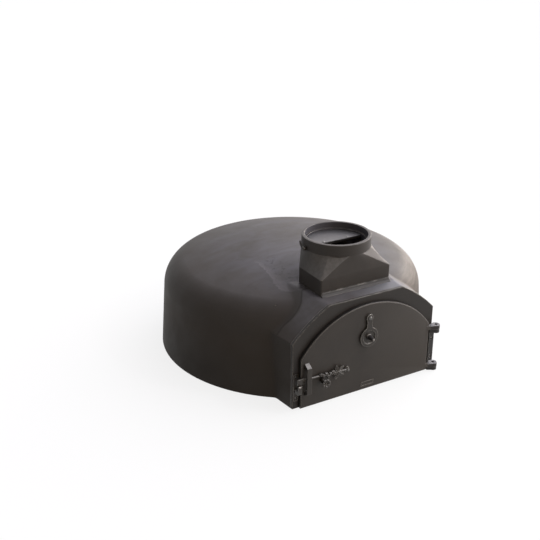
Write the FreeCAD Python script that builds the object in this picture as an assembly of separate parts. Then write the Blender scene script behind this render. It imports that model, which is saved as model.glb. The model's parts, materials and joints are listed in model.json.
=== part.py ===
# Wood-fired dome pizza oven: steel casing, arched cast-iron door and a square-to-round flue hood.
# Millimetres. The origin is on the dome's axis at the underside, +Z is up and the door faces -Y.
import FreeCAD, Part
import math
import os

V = FreeCAD.Vector
X_AXIS = V(1, 0, 0)
Y_AXIS = V(0, 1, 0)
Z_AXIS = V(0, 0, 1)
TOUCH = 0.01
OVERSHOOT = 1.0

# Door: arched cast plate with two hinge lugs on its right edge. It sets the front's width and height.
DOOR_HALF_W = 245.0
DOOR_H = 300.0
DOOR_BOTTOM_Z = 2.0
DOOR_ARCH_R = 296.0
DOOR_T = 12.0
DOOR_GAP = 2.0
DOOR_CHAMFER = 2.0
DOOR_OVERLAP = 25.0
DOOR_LIP = 1.6
LIP_W = 9.0

# Casing: a pressed steel dome with a throat that runs forward to the door frame.
CASING_T = 5.0
DOME_BASE_R = 460.0
DOME_DRAFT = 15.5
DOME_KNUCKLE_SHARE = 0.7164
DOME_CAP_H = 137.5
DOME_RISE = 29.0
BLEND_R = 20.0
FACADE_SETBACK = 8.0
FRAME_BORDER = 22.0
FRAME_T = 10.0
FRAME_CHAMFER = 1.5
THROAT_FLARE = 0.114
THROAT_SIDE_STEP = 9.0
THROAT_ARC_R = 514.0
THROAT_CORNER_R = 26.0
THROAT_LAP = 112.0
SLIP = 0.4

# Floor: steel plate, insulating board and firebrick tiles.
BASE_T = 3.0
BOARD_T = 20.0
BOARD_RIM = 6.0
TILE_T = 25.0
TILE_PITCH = 220.0
TILE_JOINT = 1.0

# Refractory vault with its mouth, and the vestibule arch below the flue.
VAULT_T = 45.0
VAULT_DRAFT = 5.0
VAULT_KNUCKLE_R = 140.0
VAULT_CAP_H = 175.0
VAULT_BACK_FILL = 35.0
VAULT_TOP_FILL = 33.0
MOUTH_LEAD = 4.0
MOUTH_LAP = 48.0
MOUTH_RISE = 85.0
MOUTH_WALL = 50.0
MOUTH_ARCH_T = 85.0
MOUTH_OUTER_RISE = 110.0
MOUTH_DROP = 15.0
MOUTH_STEP = 25.0
VESTIBULE_WALL = 42.0
VESTIBULE_ARCH_T = 49.0
VESTIBULE_RISE = 125.0
BRICK_GAP = 0.5
BLANKET_GAP = 0.8

# Flue hood: rectangular skirt, transition and round collar with a socket for a 200 mm flue pipe.
FLUE_PIPE_R = 100.0
PIPE_CLEARANCE = 1.0
SOCKET_DEPTH = 19.0
LEDGE_W = 6.5
COLLAR_WALL = 10.0
COLLAR_H = 36.0
COLLAR_EDGE_R = 2.0
NECK_RISE = 57.0
SKIRT_H = 54.0
HOOD_SIDE = 19.0
HOOD_SHOULDER = 7.0
HOOD_SETBACK = 63.0
HOOD_DEPTH = 131.0
HOOD_LEAN = 15.0
HOOD_CORNER_R = 5.0
HOOD_WALL = 7.0
SEAM_R = 14.0
SEAM_FOOT_DEG = 15.0
SEAM_STEPS = 6
SLOT_MARGIN = 5.0
NECK_FRONT_HALF_DEG = 14.0
NECK_SIDE_FRONT_DEG = -45.0
NECK_SIDE_BACK_DEG = 2.0
NECK_BACK_HALF_DEG = 28.0

# Damper in the collar: a half-moon flap on a cross shaft with a curled finger lever.
DAMPER_OFFSET = 5.0
DAMPER_DROP = 12.0
DAMPER_SHAFT_R = 5.0
FLAP_T = 3.0
FLAP_GAP = 2.0
FLAP_FRONT = 8.0
LEVER_HUB_R = 9.0
LEVER_T = 6.0
LEVER_STANDOFF = 3.4
LEVER_ARM_W = 7.0
LEVER_TIP_W = 4.2
LEVER_REACH = 24.0
LEVER_RISE = 17.0
LEVER_BEND_REACH = 19.2
LEVER_BEND_RISE = 5.1
LEVER_KNOB_R = 2.8
DAMPER_SCREW_R = 2.5
DAMPER_SCREW_X = 45.0
DAMPER_HEAD_R = 5.0
DAMPER_HEAD_H = 2.5
DAMPER_HEAD_EDGE_R = 2.2
RUNNING_FIT = 0.05

# Hinge: cast bracket on the frame, two pins and the door's lugs above it.
HINGE_REACH = 26.0
HINGE_OFFSET = 15.0
PIN_R = 5.0
PIN_RECESS = 5.0
PIN_CHAMFER = 1.0
LOWER_LUG_Z = 11.5
LUG_SPACING = 140.0
LUG_GAP = 0.5
DOOR_LUG_R = 13.5
DOOR_LUG_H = 13.0
ARM_ROOT = 17.0
ARM_NECK = 8.0
ARM_SLOPE = 2.0
ARM_SINK = 4.0
ARM_CLEARANCE = 1.0
BRACKET_GAP = 2.0
BRACKET_W = 19.0
BRACKET_H = 104.0
BRACKET_WEB_T = 4.0
BRACKET_WEB_W = 12.0
BRACKET_LUG_R = 13.0
BRACKET_SCREW_PITCH = 66.5
SCREW_R = 3.0
SCREW_HEAD_R = 6.0
SCREW_HEAD_H = 3.0
SCREW_GRIP = 7.0
SCREW_SINK = 0.6
SCREW_SLOT_W = 1.6
SCREW_SLOT_DEPTH = 1.2

# Air vent: keyhole cover that hangs from a rivet over a round port.
VENT_INSET = 46.0
VENT_DROP = 66.0
VENT_R = 33.0
VENT_LOBE_R = 12.5
VENT_NECK_HALF_W = 9.5
VENT_NECK_R = 12.0
VENT_T = 6.5
VENT_GAP = 0.5
VENT_DISH_R = 18.0
VENT_DISH_DEPTH = 4.0
PORT_R = 20.0
KNOB_R = 5.5
KNOB_L = 27.0
KNOB_EDGE_R = 3.8
RIVET_R = 4.0
RIVET_HEAD_R = 7.0
RIVET_HEAD_H = 4.5

# Latch: bar that drops behind the keeper's nose, lifted by a vine handle.
LATCH_PIVOT_Z = 98.0
LATCH_RISE = 8.0
LATCH_L = 163.0
LATCH_STANDOFF = 3.0
LATCH_EYE_R = 9.0
LATCH_EYE_T = 7.0
LATCH_PIN_R = 4.0
LATCH_HEAD_R = 7.2
LATCH_HEAD_H = 4.0
LATCH_ROD_R = 3.4
TONGUE_L = 26.0
TONGUE_H = 20.0
TONGUE_T = 6.0
TONGUE_DROP = 14.0
TONGUE_LAP = 20.0
GUIDE_INSET = 20.0
GUIDE_DROP = 52.0
GUIDE_W = 16.0
GUIDE_H = 111.0
GUIDE_SLOPE = 11.0
GUIDE_STANDOFF = 18.0
GUIDE_T = 6.0
GUIDE_FOOT = 18.0
KEEPER_REACH = 20.0
KEEPER_DROP = 71.0
KEEPER_W = 17.0
KEEPER_H = 94.0
KEEPER_T = 4.0
KEEPER_CORNER_R = 5.0
KEEPER_SCREW_INSET = 10.0
TONGUE_INSET = 3.0
NOSE_W = 12.0
NOSE_T = 5.5
NOSE_GAP = 1.5
NOSE_H = 18.5
NOSE_TAPER = 1.0
NOSE_WEB_H = 12.0
LEAF_OFFSET = 27.0
LEAF_R = 28.0
LEAF_T = 4.0
LEAF_LOBES = 5
LEAF_WAIST = 0.48
LEAF_BELLY = 0.76
LEAF_BELLY_TURN = 0.28
BERRY_COUNT = 6
BERRY_R = 5.0
BERRY_PITCH = 10.0
BERRY_OFFSET = 24.0
BERRY_LIFTS = (1.5, 7.0)
ROSETTE_OFFSET = 87.0
ROSETTE_DROP = 21.0
ROSETTE_STEM_R = 8.0
ROSETTE_DEPTH = 18.0
STALK_R = 3.2
PETALS = 6
PETAL_R = 5.0
PETAL_RING_R = 9.5

# Heights that follow from the sizes above.
DOOR_TOP_Z = DOOR_BOTTOM_Z + DOOR_H
THROAT_TOP_Z = DOOR_TOP_Z + FRAME_BORDER
DOME_CROWN_Z = THROAT_TOP_Z + DOME_RISE
DOME_SHOULDER_Z = DOME_CROWN_Z - DOME_CAP_H
THROAT_SIDE_Z = DOME_SHOULDER_Z + THROAT_SIDE_STEP
BOARD_Z = BASE_T + BOARD_T
HEARTH_Z = BOARD_Z + TILE_T
VAULT_CROWN_Z = DOME_CROWN_Z - CASING_T - VAULT_TOP_FILL
VAULT_SHOULDER_Z = VAULT_CROWN_Z - VAULT_CAP_H
MOUTH_OUTER_TOP_Z = VAULT_CROWN_Z - MOUTH_DROP
MOUTH_OUTER_SIDE_Z = MOUTH_OUTER_TOP_Z - MOUTH_OUTER_RISE
MOUTH_TOP_Z = MOUTH_OUTER_TOP_Z - MOUTH_ARCH_T
MOUTH_SIDE_Z = MOUTH_TOP_Z - MOUTH_RISE
VESTIBULE_TOP_Z = THROAT_TOP_Z - VESTIBULE_ARCH_T
VESTIBULE_SIDE_Z = VESTIBULE_TOP_Z - VESTIBULE_RISE
SKIRT_TOP_Z = THROAT_TOP_Z + SKIRT_H
NECK_Z = SKIRT_TOP_Z + NECK_RISE
COLLAR_TOP_Z = NECK_Z + COLLAR_H
SOCKET_FLOOR_Z = COLLAR_TOP_Z - SOCKET_DEPTH
DAMPER_Z = SOCKET_FLOOR_Z - DAMPER_DROP
FLAP_Z = DAMPER_Z + DAMPER_SHAFT_R
FLAP_TOP_Z = FLAP_Z + FLAP_T
UPPER_LUG_Z = LOWER_LUG_Z + LUG_SPACING
LOWER_DOOR_LUG_Z = LOWER_LUG_Z + LUG_GAP
UPPER_DOOR_LUG_Z = UPPER_LUG_Z + LUG_GAP
VENT_PIVOT_Z = DOOR_TOP_Z - VENT_INSET
VENT_DISC_Z = VENT_PIVOT_Z - VENT_DROP
LATCH_ROD_Z = LATCH_PIVOT_Z + LATCH_RISE
TONGUE_BOTTOM_Z = LATCH_ROD_Z - TONGUE_DROP
GUIDE_BOTTOM_Z = LATCH_PIVOT_Z - GUIDE_DROP
KEEPER_BOTTOM_Z = LATCH_PIVOT_Z - KEEPER_DROP
NOSE_TIP_Z = TONGUE_BOTTOM_Z - NOSE_GAP
NOSE_FLOOR_Z = NOSE_TIP_Z - NOSE_H

# Widths and radii that follow from the sizes above.
DOME_SHOULDER_R = DOME_BASE_R - DOME_DRAFT
DOME_KNUCKLE_R = DOME_KNUCKLE_SHARE * DOME_CAP_H
SOCKET_R = FLUE_PIPE_R + PIPE_CLEARANCE
COLLAR_R = SOCKET_R + COLLAR_WALL
COLLAR_BORE_R = SOCKET_R - LEDGE_W
HOOD_HALF_W = COLLAR_R + HOOD_SIDE
THROAT_HALF_W = DOOR_HALF_W + FRAME_BORDER
THROAT_TOP_HALF_W = HOOD_HALF_W + HOOD_SHOULDER
VESTIBULE_HALF_W = THROAT_HALF_W - VESTIBULE_WALL
MOUTH_HALF_W = VESTIBULE_HALF_W - MOUTH_STEP
MOUTH_OUTER_HALF_W = MOUTH_HALF_W + MOUTH_WALL
LEVER_X = -COLLAR_R - LEVER_STANDOFF - LEVER_T
HINGE_X = DOOR_HALF_W + HINGE_REACH
BRACKET_X0 = DOOR_HALF_W + BRACKET_GAP
KEEPER_X0 = -DOOR_HALF_W - KEEPER_REACH
TONGUE_X = KEEPER_X0 + TONGUE_INSET
LATCH_ROD_X = TONGUE_X + TONGUE_LAP
LATCH_PIVOT_X = LATCH_ROD_X + LATCH_L
GUIDE_X = GUIDE_INSET - DOOR_HALF_W
LEAF_X = LATCH_PIVOT_X - LEAF_OFFSET
BERRY_X = LEAF_X - BERRY_OFFSET
ROSETTE_X = LATCH_PIVOT_X - ROSETTE_OFFSET

# Depths that follow from the sizes above, from the front to the back.
FACADE_Y = FACADE_SETBACK - DOME_BASE_R
FRAME_BACK_Y = FACADE_Y + FRAME_T
DOOR_BACK_Y = FACADE_Y - DOOR_GAP
DOOR_FRONT_Y = DOOR_BACK_Y - DOOR_T
HINGE_Y = FACADE_Y - HINGE_OFFSET
HINGE = V(HINGE_X, HINGE_Y, 0)
LATCH_EYE_BACK_Y = DOOR_FRONT_Y - LATCH_STANDOFF
LATCH_EYE_FRONT_Y = LATCH_EYE_BACK_Y - LATCH_EYE_T
LATCH_MID_Y = LATCH_EYE_BACK_Y - LATCH_EYE_T / 2
VENT_BACK_Y = DOOR_FRONT_Y - VENT_GAP
VENT_FRONT_Y = VENT_BACK_Y - VENT_T
HOOD_FRONT_Y = FACADE_Y + HOOD_SETBACK
HOOD_BACK_Y = HOOD_FRONT_Y + HOOD_DEPTH
COLLAR_Y = HOOD_BACK_Y - HOOD_LEAN
DAMPER_Y = COLLAR_Y + DAMPER_OFFSET
MOUTH_Y = HOOD_BACK_Y - MOUTH_LEAD
THROAT_BACK_Y = MOUTH_Y + THROAT_LAP
VAULT_FRONT_Y = MOUTH_Y - MOUTH_LAP
VAULT_BACK_Y = DOME_BASE_R - CASING_T - VAULT_BACK_FILL
VAULT_Y = (VAULT_FRONT_Y + VAULT_BACK_Y) / 2
VAULT_R = (VAULT_BACK_Y - VAULT_FRONT_Y) / 2
VAULT_SHOULDER_R = VAULT_R - VAULT_DRAFT


def block(x0, x1, y0, y1, z0, z1):
    """Box between two corners."""
    return Part.makeBox(x1 - x0, y1 - y0, z1 - z0, V(x0, y0, z0))


def rod(start, end, radius):
    """Round bar between two points."""
    run = end - start
    return Part.makeCylinder(radius, run.Length, start, run)


def through_y(x, z, y0, y1, radius):
    """Round bar along Y."""
    return rod(V(x, y0, z), V(x, y1, z), radius)


def polygon_prism(points, along):
    """Prism on a closed run of straight edges."""
    face = Part.Face(Part.makePolygon(points + points[:1]))
    return face.extrude(along)


def arch_prism(half_w, base_z, side_z, top_z, y0, y1):
    """Doorway shape, flat below and arched above, extruded along Y."""
    left = V(-half_w, y0, side_z)
    right = V(half_w, y0, side_z)
    edges = [Part.makePolygon([left, V(-half_w, y0, base_z), V(half_w, y0, base_z), right])]
    edges.append(Part.Arc(right, V(0, y0, top_z), left).toShape())
    return Part.Face(Part.Wire(edges)).extrude(V(0, y1 - y0, 0))


def tall_dome(base_r, shoulder_r, shoulder_z, knuckle_r, crown_z, base_z, inset):
    """Round solid with a sloped wall, a knuckle and a crown, all drawn in by inset."""
    slope = math.atan2(base_r - shoulder_r, shoulder_z - base_z)
    knuckle_x = shoulder_r - knuckle_r * math.cos(slope)
    knuckle_z = shoulder_z - knuckle_r * math.sin(slope)
    rise = crown_z - knuckle_z
    crown_r = (knuckle_x ** 2 + rise ** 2 - knuckle_r ** 2) / (2 * (rise - knuckle_r))
    crown_centre_z = crown_z - crown_r
    tilt = math.atan2(knuckle_x, knuckle_z - crown_centre_z)
    bend_r = knuckle_r - inset
    cap_r = crown_r - inset

    def on_knuckle(angle):
        return V(knuckle_x + bend_r * math.cos(angle), 0, knuckle_z + bend_r * math.sin(angle))

    def on_crown(angle):
        return V(cap_r * math.sin(angle), 0, crown_centre_z + cap_r * math.cos(angle))

    last = math.pi / 2 - tilt
    foot = V(base_r - inset / math.cos(slope), 0, base_z)
    edges = [
        Part.makeLine(V(0, 0, base_z), foot),
        Part.makeLine(foot, on_knuckle(slope)),
        Part.Arc(on_knuckle(slope), on_knuckle((slope + last) / 2), on_knuckle(last)).toShape(),
        Part.Arc(on_knuckle(last), on_crown(tilt / 2), on_crown(0)).toShape(),
        Part.makeLine(on_crown(0), V(0, 0, base_z)),
    ]
    return Part.Face(Part.Wire(edges)).revolve(V(0, 0, 0), Z_AXIS, 360)


def casing_dome(inset):
    """Dome of the casing, cut off flat where the door frame stands."""
    dome = tall_dome(DOME_BASE_R, DOME_SHOULDER_R, DOME_SHOULDER_Z, DOME_KNUCKLE_R, DOME_CROWN_Z, 0, inset)
    reach = 2 * DOME_BASE_R
    return dome.cut(block(-reach, reach, -reach, FRAME_BACK_Y, -OVERSHOOT, reach))


def vault_dome(inset):
    """Dome of the refractory vault, set back from the casing's axis."""
    upper = (VAULT_KNUCKLE_R, VAULT_CROWN_Z, BOARD_Z, inset)
    dome = tall_dome(VAULT_R, VAULT_SHOULDER_R, VAULT_SHOULDER_Z, *upper)
    return dome.translated(V(0, VAULT_Y, 0))


def throat_outline(y, inset):
    """Cross-section of the throat at one depth: upright sides, arched shoulders and a flat top."""
    grow = THROAT_FLARE * (y - FACADE_Y)
    half_w = THROAT_HALF_W + grow
    top_half_w = THROAT_TOP_HALF_W + grow
    run = half_w - top_half_w
    drop = THROAT_TOP_Z - THROAT_SIDE_Z
    chord = math.hypot(run, drop)
    back_off = math.sqrt(THROAT_ARC_R ** 2 - chord ** 2 / 4)
    centre_x = (half_w + top_half_w) / 2 - back_off * drop / chord
    centre_z = (THROAT_SIDE_Z + THROAT_TOP_Z) / 2 - back_off * run / chord
    arc_r = THROAT_ARC_R - inset
    side_x = half_w - inset
    top_z = THROAT_TOP_Z - inset
    side_z = centre_z + math.sqrt(arc_r ** 2 - (side_x - centre_x) ** 2)
    top_x = centre_x + math.sqrt(arc_r ** 2 - (top_z - centre_z) ** 2)
    side_turn = math.atan2(side_z - centre_z, side_x - centre_x)
    top_turn = math.atan2(top_z - centre_z, top_x - centre_x)
    middle = (side_turn + top_turn) / 2
    mid_x = centre_x + arc_r * math.cos(middle)
    mid_z = centre_z + arc_r * math.sin(middle)
    edges = [
        Part.makeLine(V(-side_x, y, 0), V(side_x, y, 0)),
        Part.makeLine(V(side_x, y, 0), V(side_x, y, side_z)),
        Part.Arc(V(side_x, y, side_z), V(mid_x, y, mid_z), V(top_x, y, top_z)).toShape(),
        Part.makeLine(V(top_x, y, top_z), V(-top_x, y, top_z)),
        Part.Arc(V(-top_x, y, top_z), V(-mid_x, y, mid_z), V(-side_x, y, side_z)).toShape(),
        Part.makeLine(V(-side_x, y, side_z), V(-side_x, y, 0)),
    ]
    return Part.Wire(edges)


def throat(y0, y1, inset):
    """Throat between two depths, with its top corners rounded."""
    solid = Part.makeLoft([throat_outline(y0, inset), throat_outline(y1, inset)], True, True)

    def is_top_corner(edge):
        ends = [v.Point for v in edge.Vertexes]
        level = all(abs(p.z - (THROAT_TOP_Z - inset)) < TOUCH for p in ends)
        return level and abs(ends[0].y - ends[1].y) > (y1 - y0) / 2

    corners = [edge for edge in solid.Edges if is_top_corner(edge)]
    return solid.makeFillet(THROAT_CORNER_R - inset, corners)


def casing_space(inset):
    """Space inside the casing, dome and throat together, drawn in by inset."""
    return casing_dome(inset).fuse(throat(FRAME_BACK_Y, THROAT_BACK_Y, inset)).removeSplitter()


def touches(point, shape):
    return shape.distToShape(Part.Vertex(point))[0] < TOUCH


def casing_outside():
    """Outer form of the casing, with the valley between dome and throat rounded off."""
    dome = casing_dome(0)
    neck = throat(FRAME_BACK_Y, THROAT_BACK_Y, 0)
    whole = dome.fuse(neck).removeSplitter()
    dome_skin = dome.Shells[0]
    neck_skin = neck.Shells[0]
    valley = []
    for edge in whole.Edges:
        middle = edge.valueAt((edge.FirstParameter + edge.LastParameter) / 2)
        if middle.z > TOUCH and touches(middle, dome_skin) and touches(middle, neck_skin):
            valley.append(edge)
    return whole.makeFillet(BLEND_R, valley)


def hood_outline(z, inset):
    """Rounded rectangle of the hood's skirt, drawn in by inset or let out by a negative one."""
    half_w = HOOD_HALF_W - inset
    front = HOOD_FRONT_Y + inset
    back = HOOD_BACK_Y - inset
    r = HOOD_CORNER_R + max(0, -inset)
    corners = [(half_w, front, -90), (half_w, back, 0), (-half_w, back, 90), (-half_w, front, 180)]
    edges = []
    last = V(-half_w + r, front, z)
    for x, y, start in corners:
        centre = V(x - math.copysign(r, x), y + (r if y == front else -r), z)

        def on_corner(angle):
            turn = math.radians(angle)
            return centre + V(r * math.cos(turn), r * math.sin(turn), 0)

        edges.append(Part.makeLine(last, on_corner(start)))
        edges.append(Part.Arc(on_corner(start), on_corner(start + 45), on_corner(start + 90)).toShape())
        last = on_corner(start + 90)
    return Part.Wire(edges)


def neck_outline(z, radius):
    """Circle below the collar, cut where the skirt runs into it. The front corners end flat."""
    front = -90 + NECK_FRONT_HALF_DEG
    right = [front, NECK_SIDE_FRONT_DEG, NECK_SIDE_BACK_DEG, 90 - NECK_BACK_HALF_DEG]
    left = [180 - angle for angle in reversed(right)]
    stops = [-180 - front] + right + left

    def on_neck(angle):
        turn = math.radians(angle)
        return V(radius * math.cos(turn), COLLAR_Y + radius * math.sin(turn), z)

    edges = []
    for a, b in zip(stops, stops[1:]):
        if NECK_SIDE_FRONT_DEG in (b, 180 - a):
            edges.append(Part.makeLine(on_neck(a), on_neck(b)))
        else:
            edges.append(Part.Arc(on_neck(a), on_neck((a + b) / 2), on_neck(b)).toShape())
    return Part.Wire(edges)


def upright(radius, z0, z1, x=0.0, y=COLLAR_Y):
    return rod(V(x, y, z0), V(x, y, z1), radius)


def skirt(z0, z1, inset):
    return Part.Face(hood_outline(z0, inset)).extrude(V(0, 0, z1 - z0))


def hood_transition(inset, radius):
    return Part.makeLoft([hood_outline(SKIRT_TOP_Z, inset), neck_outline(NECK_Z, radius)], True, True)


def make_flue_hood(outside):
    collar = upright(COLLAR_R, NECK_Z, COLLAR_TOP_Z)
    rim = [e for e in collar.Edges if e.BoundBox.ZMin > COLLAR_TOP_Z - TOUCH]
    collar = collar.makeFillet(COLLAR_EDGE_R, rim)
    foot_z = THROAT_TOP_Z - CASING_T
    hood = skirt(foot_z, SKIRT_TOP_Z, 0).fuse(hood_transition(0, COLLAR_R)).fuse(collar)
    hood = hood.cut(skirt(foot_z, SKIRT_TOP_Z, HOOD_WALL)).cut(hood_transition(HOOD_WALL, COLLAR_BORE_R))
    hood = hood.cut(upright(COLLAR_BORE_R, NECK_Z, SOCKET_FLOOR_Z))
    hood = hood.cut(upright(SOCKET_R, SOCKET_FLOOR_Z, COLLAR_TOP_Z))
    hood = hood.cut(damper_line(-COLLAR_R, COLLAR_R, DAMPER_SHAFT_R + RUNNING_FIT))
    return hood.cut(outside).removeSplitter()


def make_hood_seam(outside):
    """Hollow-rounded bead of fire cement along the skirt's front foot."""
    foot = math.radians(SEAM_FOOT_DEG)
    outlines = [hood_outline(THROAT_TOP_Z, SEAM_R * (math.sin(foot) - 1))]
    for step in range(SEAM_STEPS + 1):
        turn = foot + (math.pi / 2 - foot) * step / SEAM_STEPS
        grow = max(SLIP, SEAM_R * (1 - math.sin(turn)))
        outlines.append(hood_outline(THROAT_TOP_Z + SEAM_R * (1 - math.cos(turn)), -grow))
    bead = Part.makeLoft(outlines, True, True)
    bead = bead.cut(skirt(THROAT_TOP_Z - OVERSHOOT, SKIRT_TOP_Z, 0))
    y0 = HOOD_FRONT_Y - SEAM_R
    front = block(-HOOD_HALF_W, HOOD_HALF_W, y0, HOOD_FRONT_Y, THROAT_TOP_Z, SKIRT_TOP_Z)
    return bead.common(front).cut(outside)


def flue_slot(z0, z1, margin):
    """Smoke slot below the hood."""
    half_w = HOOD_HALF_W - HOOD_WALL - margin
    front = HOOD_FRONT_Y + HOOD_WALL + margin
    back = HOOD_BACK_Y - HOOD_WALL - margin
    return block(-half_w, half_w, front, back, z0, z1)


def make_casing(outside):
    shell = outside.cut(casing_space(CASING_T))
    return shell.cut(flue_slot(HEARTH_Z, SKIRT_TOP_Z, SLOT_MARGIN))


def door_outline(shrink, bottom_z, y0, y1):
    """Door shape, or a smaller one that keeps the same arch centre."""
    half_w = DOOR_HALF_W - shrink
    centre_z = DOOR_TOP_Z - DOOR_ARCH_R
    arch_r = DOOR_ARCH_R - shrink
    side_z = centre_z + math.sqrt(arch_r ** 2 - half_w ** 2)
    return arch_prism(half_w, bottom_z, side_z, centre_z + arch_r, y0, y1)


def make_front_frame():
    frame = Part.makeLoft([throat_outline(FACADE_Y, 0), throat_outline(FRAME_BACK_Y, 0)], True, True)
    front = [e for e in frame.Edges if e.BoundBox.YMax < FACADE_Y + TOUCH and e.BoundBox.ZMax > TOUCH]
    frame = frame.makeChamfer(FRAME_CHAMFER, front)
    frame = frame.cut(door_outline(DOOR_OVERLAP, HEARTH_Z, FACADE_Y - OVERSHOOT, FRAME_BACK_Y + OVERSHOOT))
    depth = FACADE_Y + SCREW_GRIP + SLIP
    places = bracket_screw_places() + keeper_screw_places()
    return cut_all(frame, [through_y(place.x, place.z, FACADE_Y, depth, SCREW_R) for place in places])


def make_base_plate():
    slab = block(-DOME_BASE_R, DOME_BASE_R, FRAME_BACK_Y + SLIP, DOME_BASE_R, 0, BASE_T)
    return casing_space(CASING_T + SLIP).common(slab)


def floor_field(margin, z0, z1):
    """Plan of the insulating board: round below the vault, straight below the vestibule."""
    disc = rod(V(0, VAULT_Y, z0), V(0, VAULT_Y, z1), VAULT_R + BOARD_RIM + margin)
    half_w = THROAT_HALF_W - CASING_T - SLIP
    lane = block(-half_w, half_w, FRAME_BACK_Y + SLIP, VAULT_Y, z0, z1)
    return disc.fuse(lane).removeSplitter()


def make_hearth_tiles():
    """Chamber tiles: a square grid cut round to fit inside the vault."""
    inside_r = vault_inner_r(HEARTH_Z) - BRICK_GAP
    disc = rod(V(0, VAULT_Y, BOARD_Z), V(0, VAULT_Y, HEARTH_Z), inside_r)
    first_y = mouth_inner_y()
    tiles = []
    columns = math.ceil(inside_r / TILE_PITCH - 0.5)
    rows = math.ceil((VAULT_Y + inside_r - first_y) / TILE_PITCH)
    for column in range(-columns, columns + 1):
        for row in range(rows):
            x0 = (column - 0.5) * TILE_PITCH
            y0 = first_y + row * TILE_PITCH
            side = TILE_PITCH - TILE_JOINT
            cell = block(x0, x0 + side, y0, y0 + side, BOARD_Z, HEARTH_Z)
            tiles += disc.common(cell).Solids
    return Part.makeCompound(tiles)


def vault_inner_r(z):
    """Radius of the chamber at a height on its sloped wall."""
    slope = (VAULT_R - VAULT_SHOULDER_R) / (VAULT_SHOULDER_Z - BOARD_Z)
    return VAULT_R - slope * (z - BOARD_Z) - VAULT_T * math.hypot(1, slope)


def mouth_inner_y():
    """Depth at which the mouth's cheeks meet the round chamber."""
    return VAULT_Y - math.sqrt(vault_inner_r(BOARD_Z) ** 2 - MOUTH_HALF_W ** 2)


def make_mouth_tile():
    half_w = MOUTH_HALF_W - BRICK_GAP
    return block(-half_w, half_w, MOUTH_Y + BRICK_GAP, mouth_inner_y() - TILE_JOINT, BOARD_Z, HEARTH_Z)


def make_landing_slab():
    half_w = VESTIBULE_HALF_W - BRICK_GAP
    return block(-half_w, half_w, FRAME_BACK_Y + BRICK_GAP, MOUTH_Y - BRICK_GAP, BOARD_Z, HEARTH_Z)


def vault_outside(grow):
    """Outer form of the vault and its mouth, grown by a clearance."""
    top_z = MOUTH_OUTER_TOP_Z + grow
    mouth = arch_prism(MOUTH_OUTER_HALF_W + grow, BOARD_Z, MOUTH_OUTER_SIDE_Z, top_z, MOUTH_Y, VAULT_Y)
    dome = vault_dome(-grow).cut(block(-VAULT_R, VAULT_R, -2 * VAULT_R, MOUTH_Y, 0, VAULT_CROWN_Z))
    return dome.fuse(mouth).removeSplitter()


def make_vault_halves():
    """Two mirrored castings that meet along the middle of the oven."""
    ring = vault_outside(0).cut(vault_dome(VAULT_T))
    ring = ring.cut(arch_prism(MOUTH_HALF_W, 0, MOUTH_SIDE_Z, MOUTH_TOP_Z, MOUTH_Y - OVERSHOOT, VAULT_Y))
    reach = 2 * VAULT_R
    half = ring.common(block(BRICK_GAP / 2, reach, -reach, reach, 0, reach))
    return half, half.mirror(V(0, 0, 0), X_AXIS)


def make_vestibule_arch():
    """Refractory arch behind the door frame, with the smoke slot through its crown."""
    inset = CASING_T + SLIP
    front = FRAME_BACK_Y + BRICK_GAP
    arch = throat(front, MOUTH_Y - BRICK_GAP, inset)
    y0 = front - OVERSHOOT
    y1 = MOUTH_Y + OVERSHOOT
    arch = arch.cut(block(-DOME_BASE_R, DOME_BASE_R, y0, y1, -OVERSHOOT, BOARD_Z))
    arch = arch.cut(arch_prism(VESTIBULE_HALF_W, 0, VESTIBULE_SIDE_Z, VESTIBULE_TOP_Z, y0, y1))
    return arch.cut(flue_slot(HEARTH_Z, SKIRT_TOP_Z, SLOT_MARGIN))


def make_blanket():
    """Ceramic-fibre fill between the casing and the refractory."""
    fill = casing_dome(CASING_T + BLANKET_GAP)
    fill = fill.cut(throat(FACADE_Y, MOUTH_Y + BLANKET_GAP, -CASING_T))
    fill = fill.cut(vault_outside(BLANKET_GAP))
    fill = fill.cut(floor_field(BLANKET_GAP, -OVERSHOOT, BOARD_Z + BLANKET_GAP))
    reach = 2 * DOME_BASE_R
    return fill.cut(block(-reach, reach, -reach, reach, -OVERSHOOT, BASE_T + SLIP))


def damper_line(x0, x1, radius):
    return rod(V(x0, DAMPER_Y, DAMPER_Z), V(x1, DAMPER_Y, DAMPER_Z), radius)


def damper_screws(radius, z0, z1):
    return [upright(radius, z0, z1, x, DAMPER_Y) for x in (-DAMPER_SCREW_X, DAMPER_SCREW_X)]


def cut_all(shape, tools):
    for tool in tools:
        shape = shape.cut(tool)
    return shape


def make_damper_flap():
    disc = upright(COLLAR_BORE_R - FLAP_GAP, FLAP_Z, FLAP_TOP_Z)
    z0 = FLAP_Z - OVERSHOOT
    z1 = FLAP_TOP_Z + OVERSHOOT
    disc = disc.cut(block(-COLLAR_R, COLLAR_R, COLLAR_Y - COLLAR_R, DAMPER_Y - FLAP_FRONT, z0, z1))
    return cut_all(disc, damper_screws(DAMPER_SCREW_R, z0, z1))


def make_damper_shaft():
    shaft = damper_line(LEVER_X, COLLAR_R + OVERSHOOT, DAMPER_SHAFT_R)
    return cut_all(shaft, damper_screws(DAMPER_SCREW_R, DAMPER_Z, FLAP_TOP_Z))


def make_damper_screws():
    screws = []
    heads = damper_screws(DAMPER_HEAD_R, FLAP_TOP_Z, FLAP_TOP_Z + DAMPER_HEAD_H)
    for shank, head in zip(damper_screws(DAMPER_SCREW_R, DAMPER_Z, FLAP_TOP_Z), heads):
        top = [e for e in head.Edges if e.BoundBox.ZMin > FLAP_TOP_Z + TOUCH]
        screws.append(shank.fuse(head.makeFillet(DAMPER_HEAD_EDGE_R, top)))
    return Part.makeCompound(screws)


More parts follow.
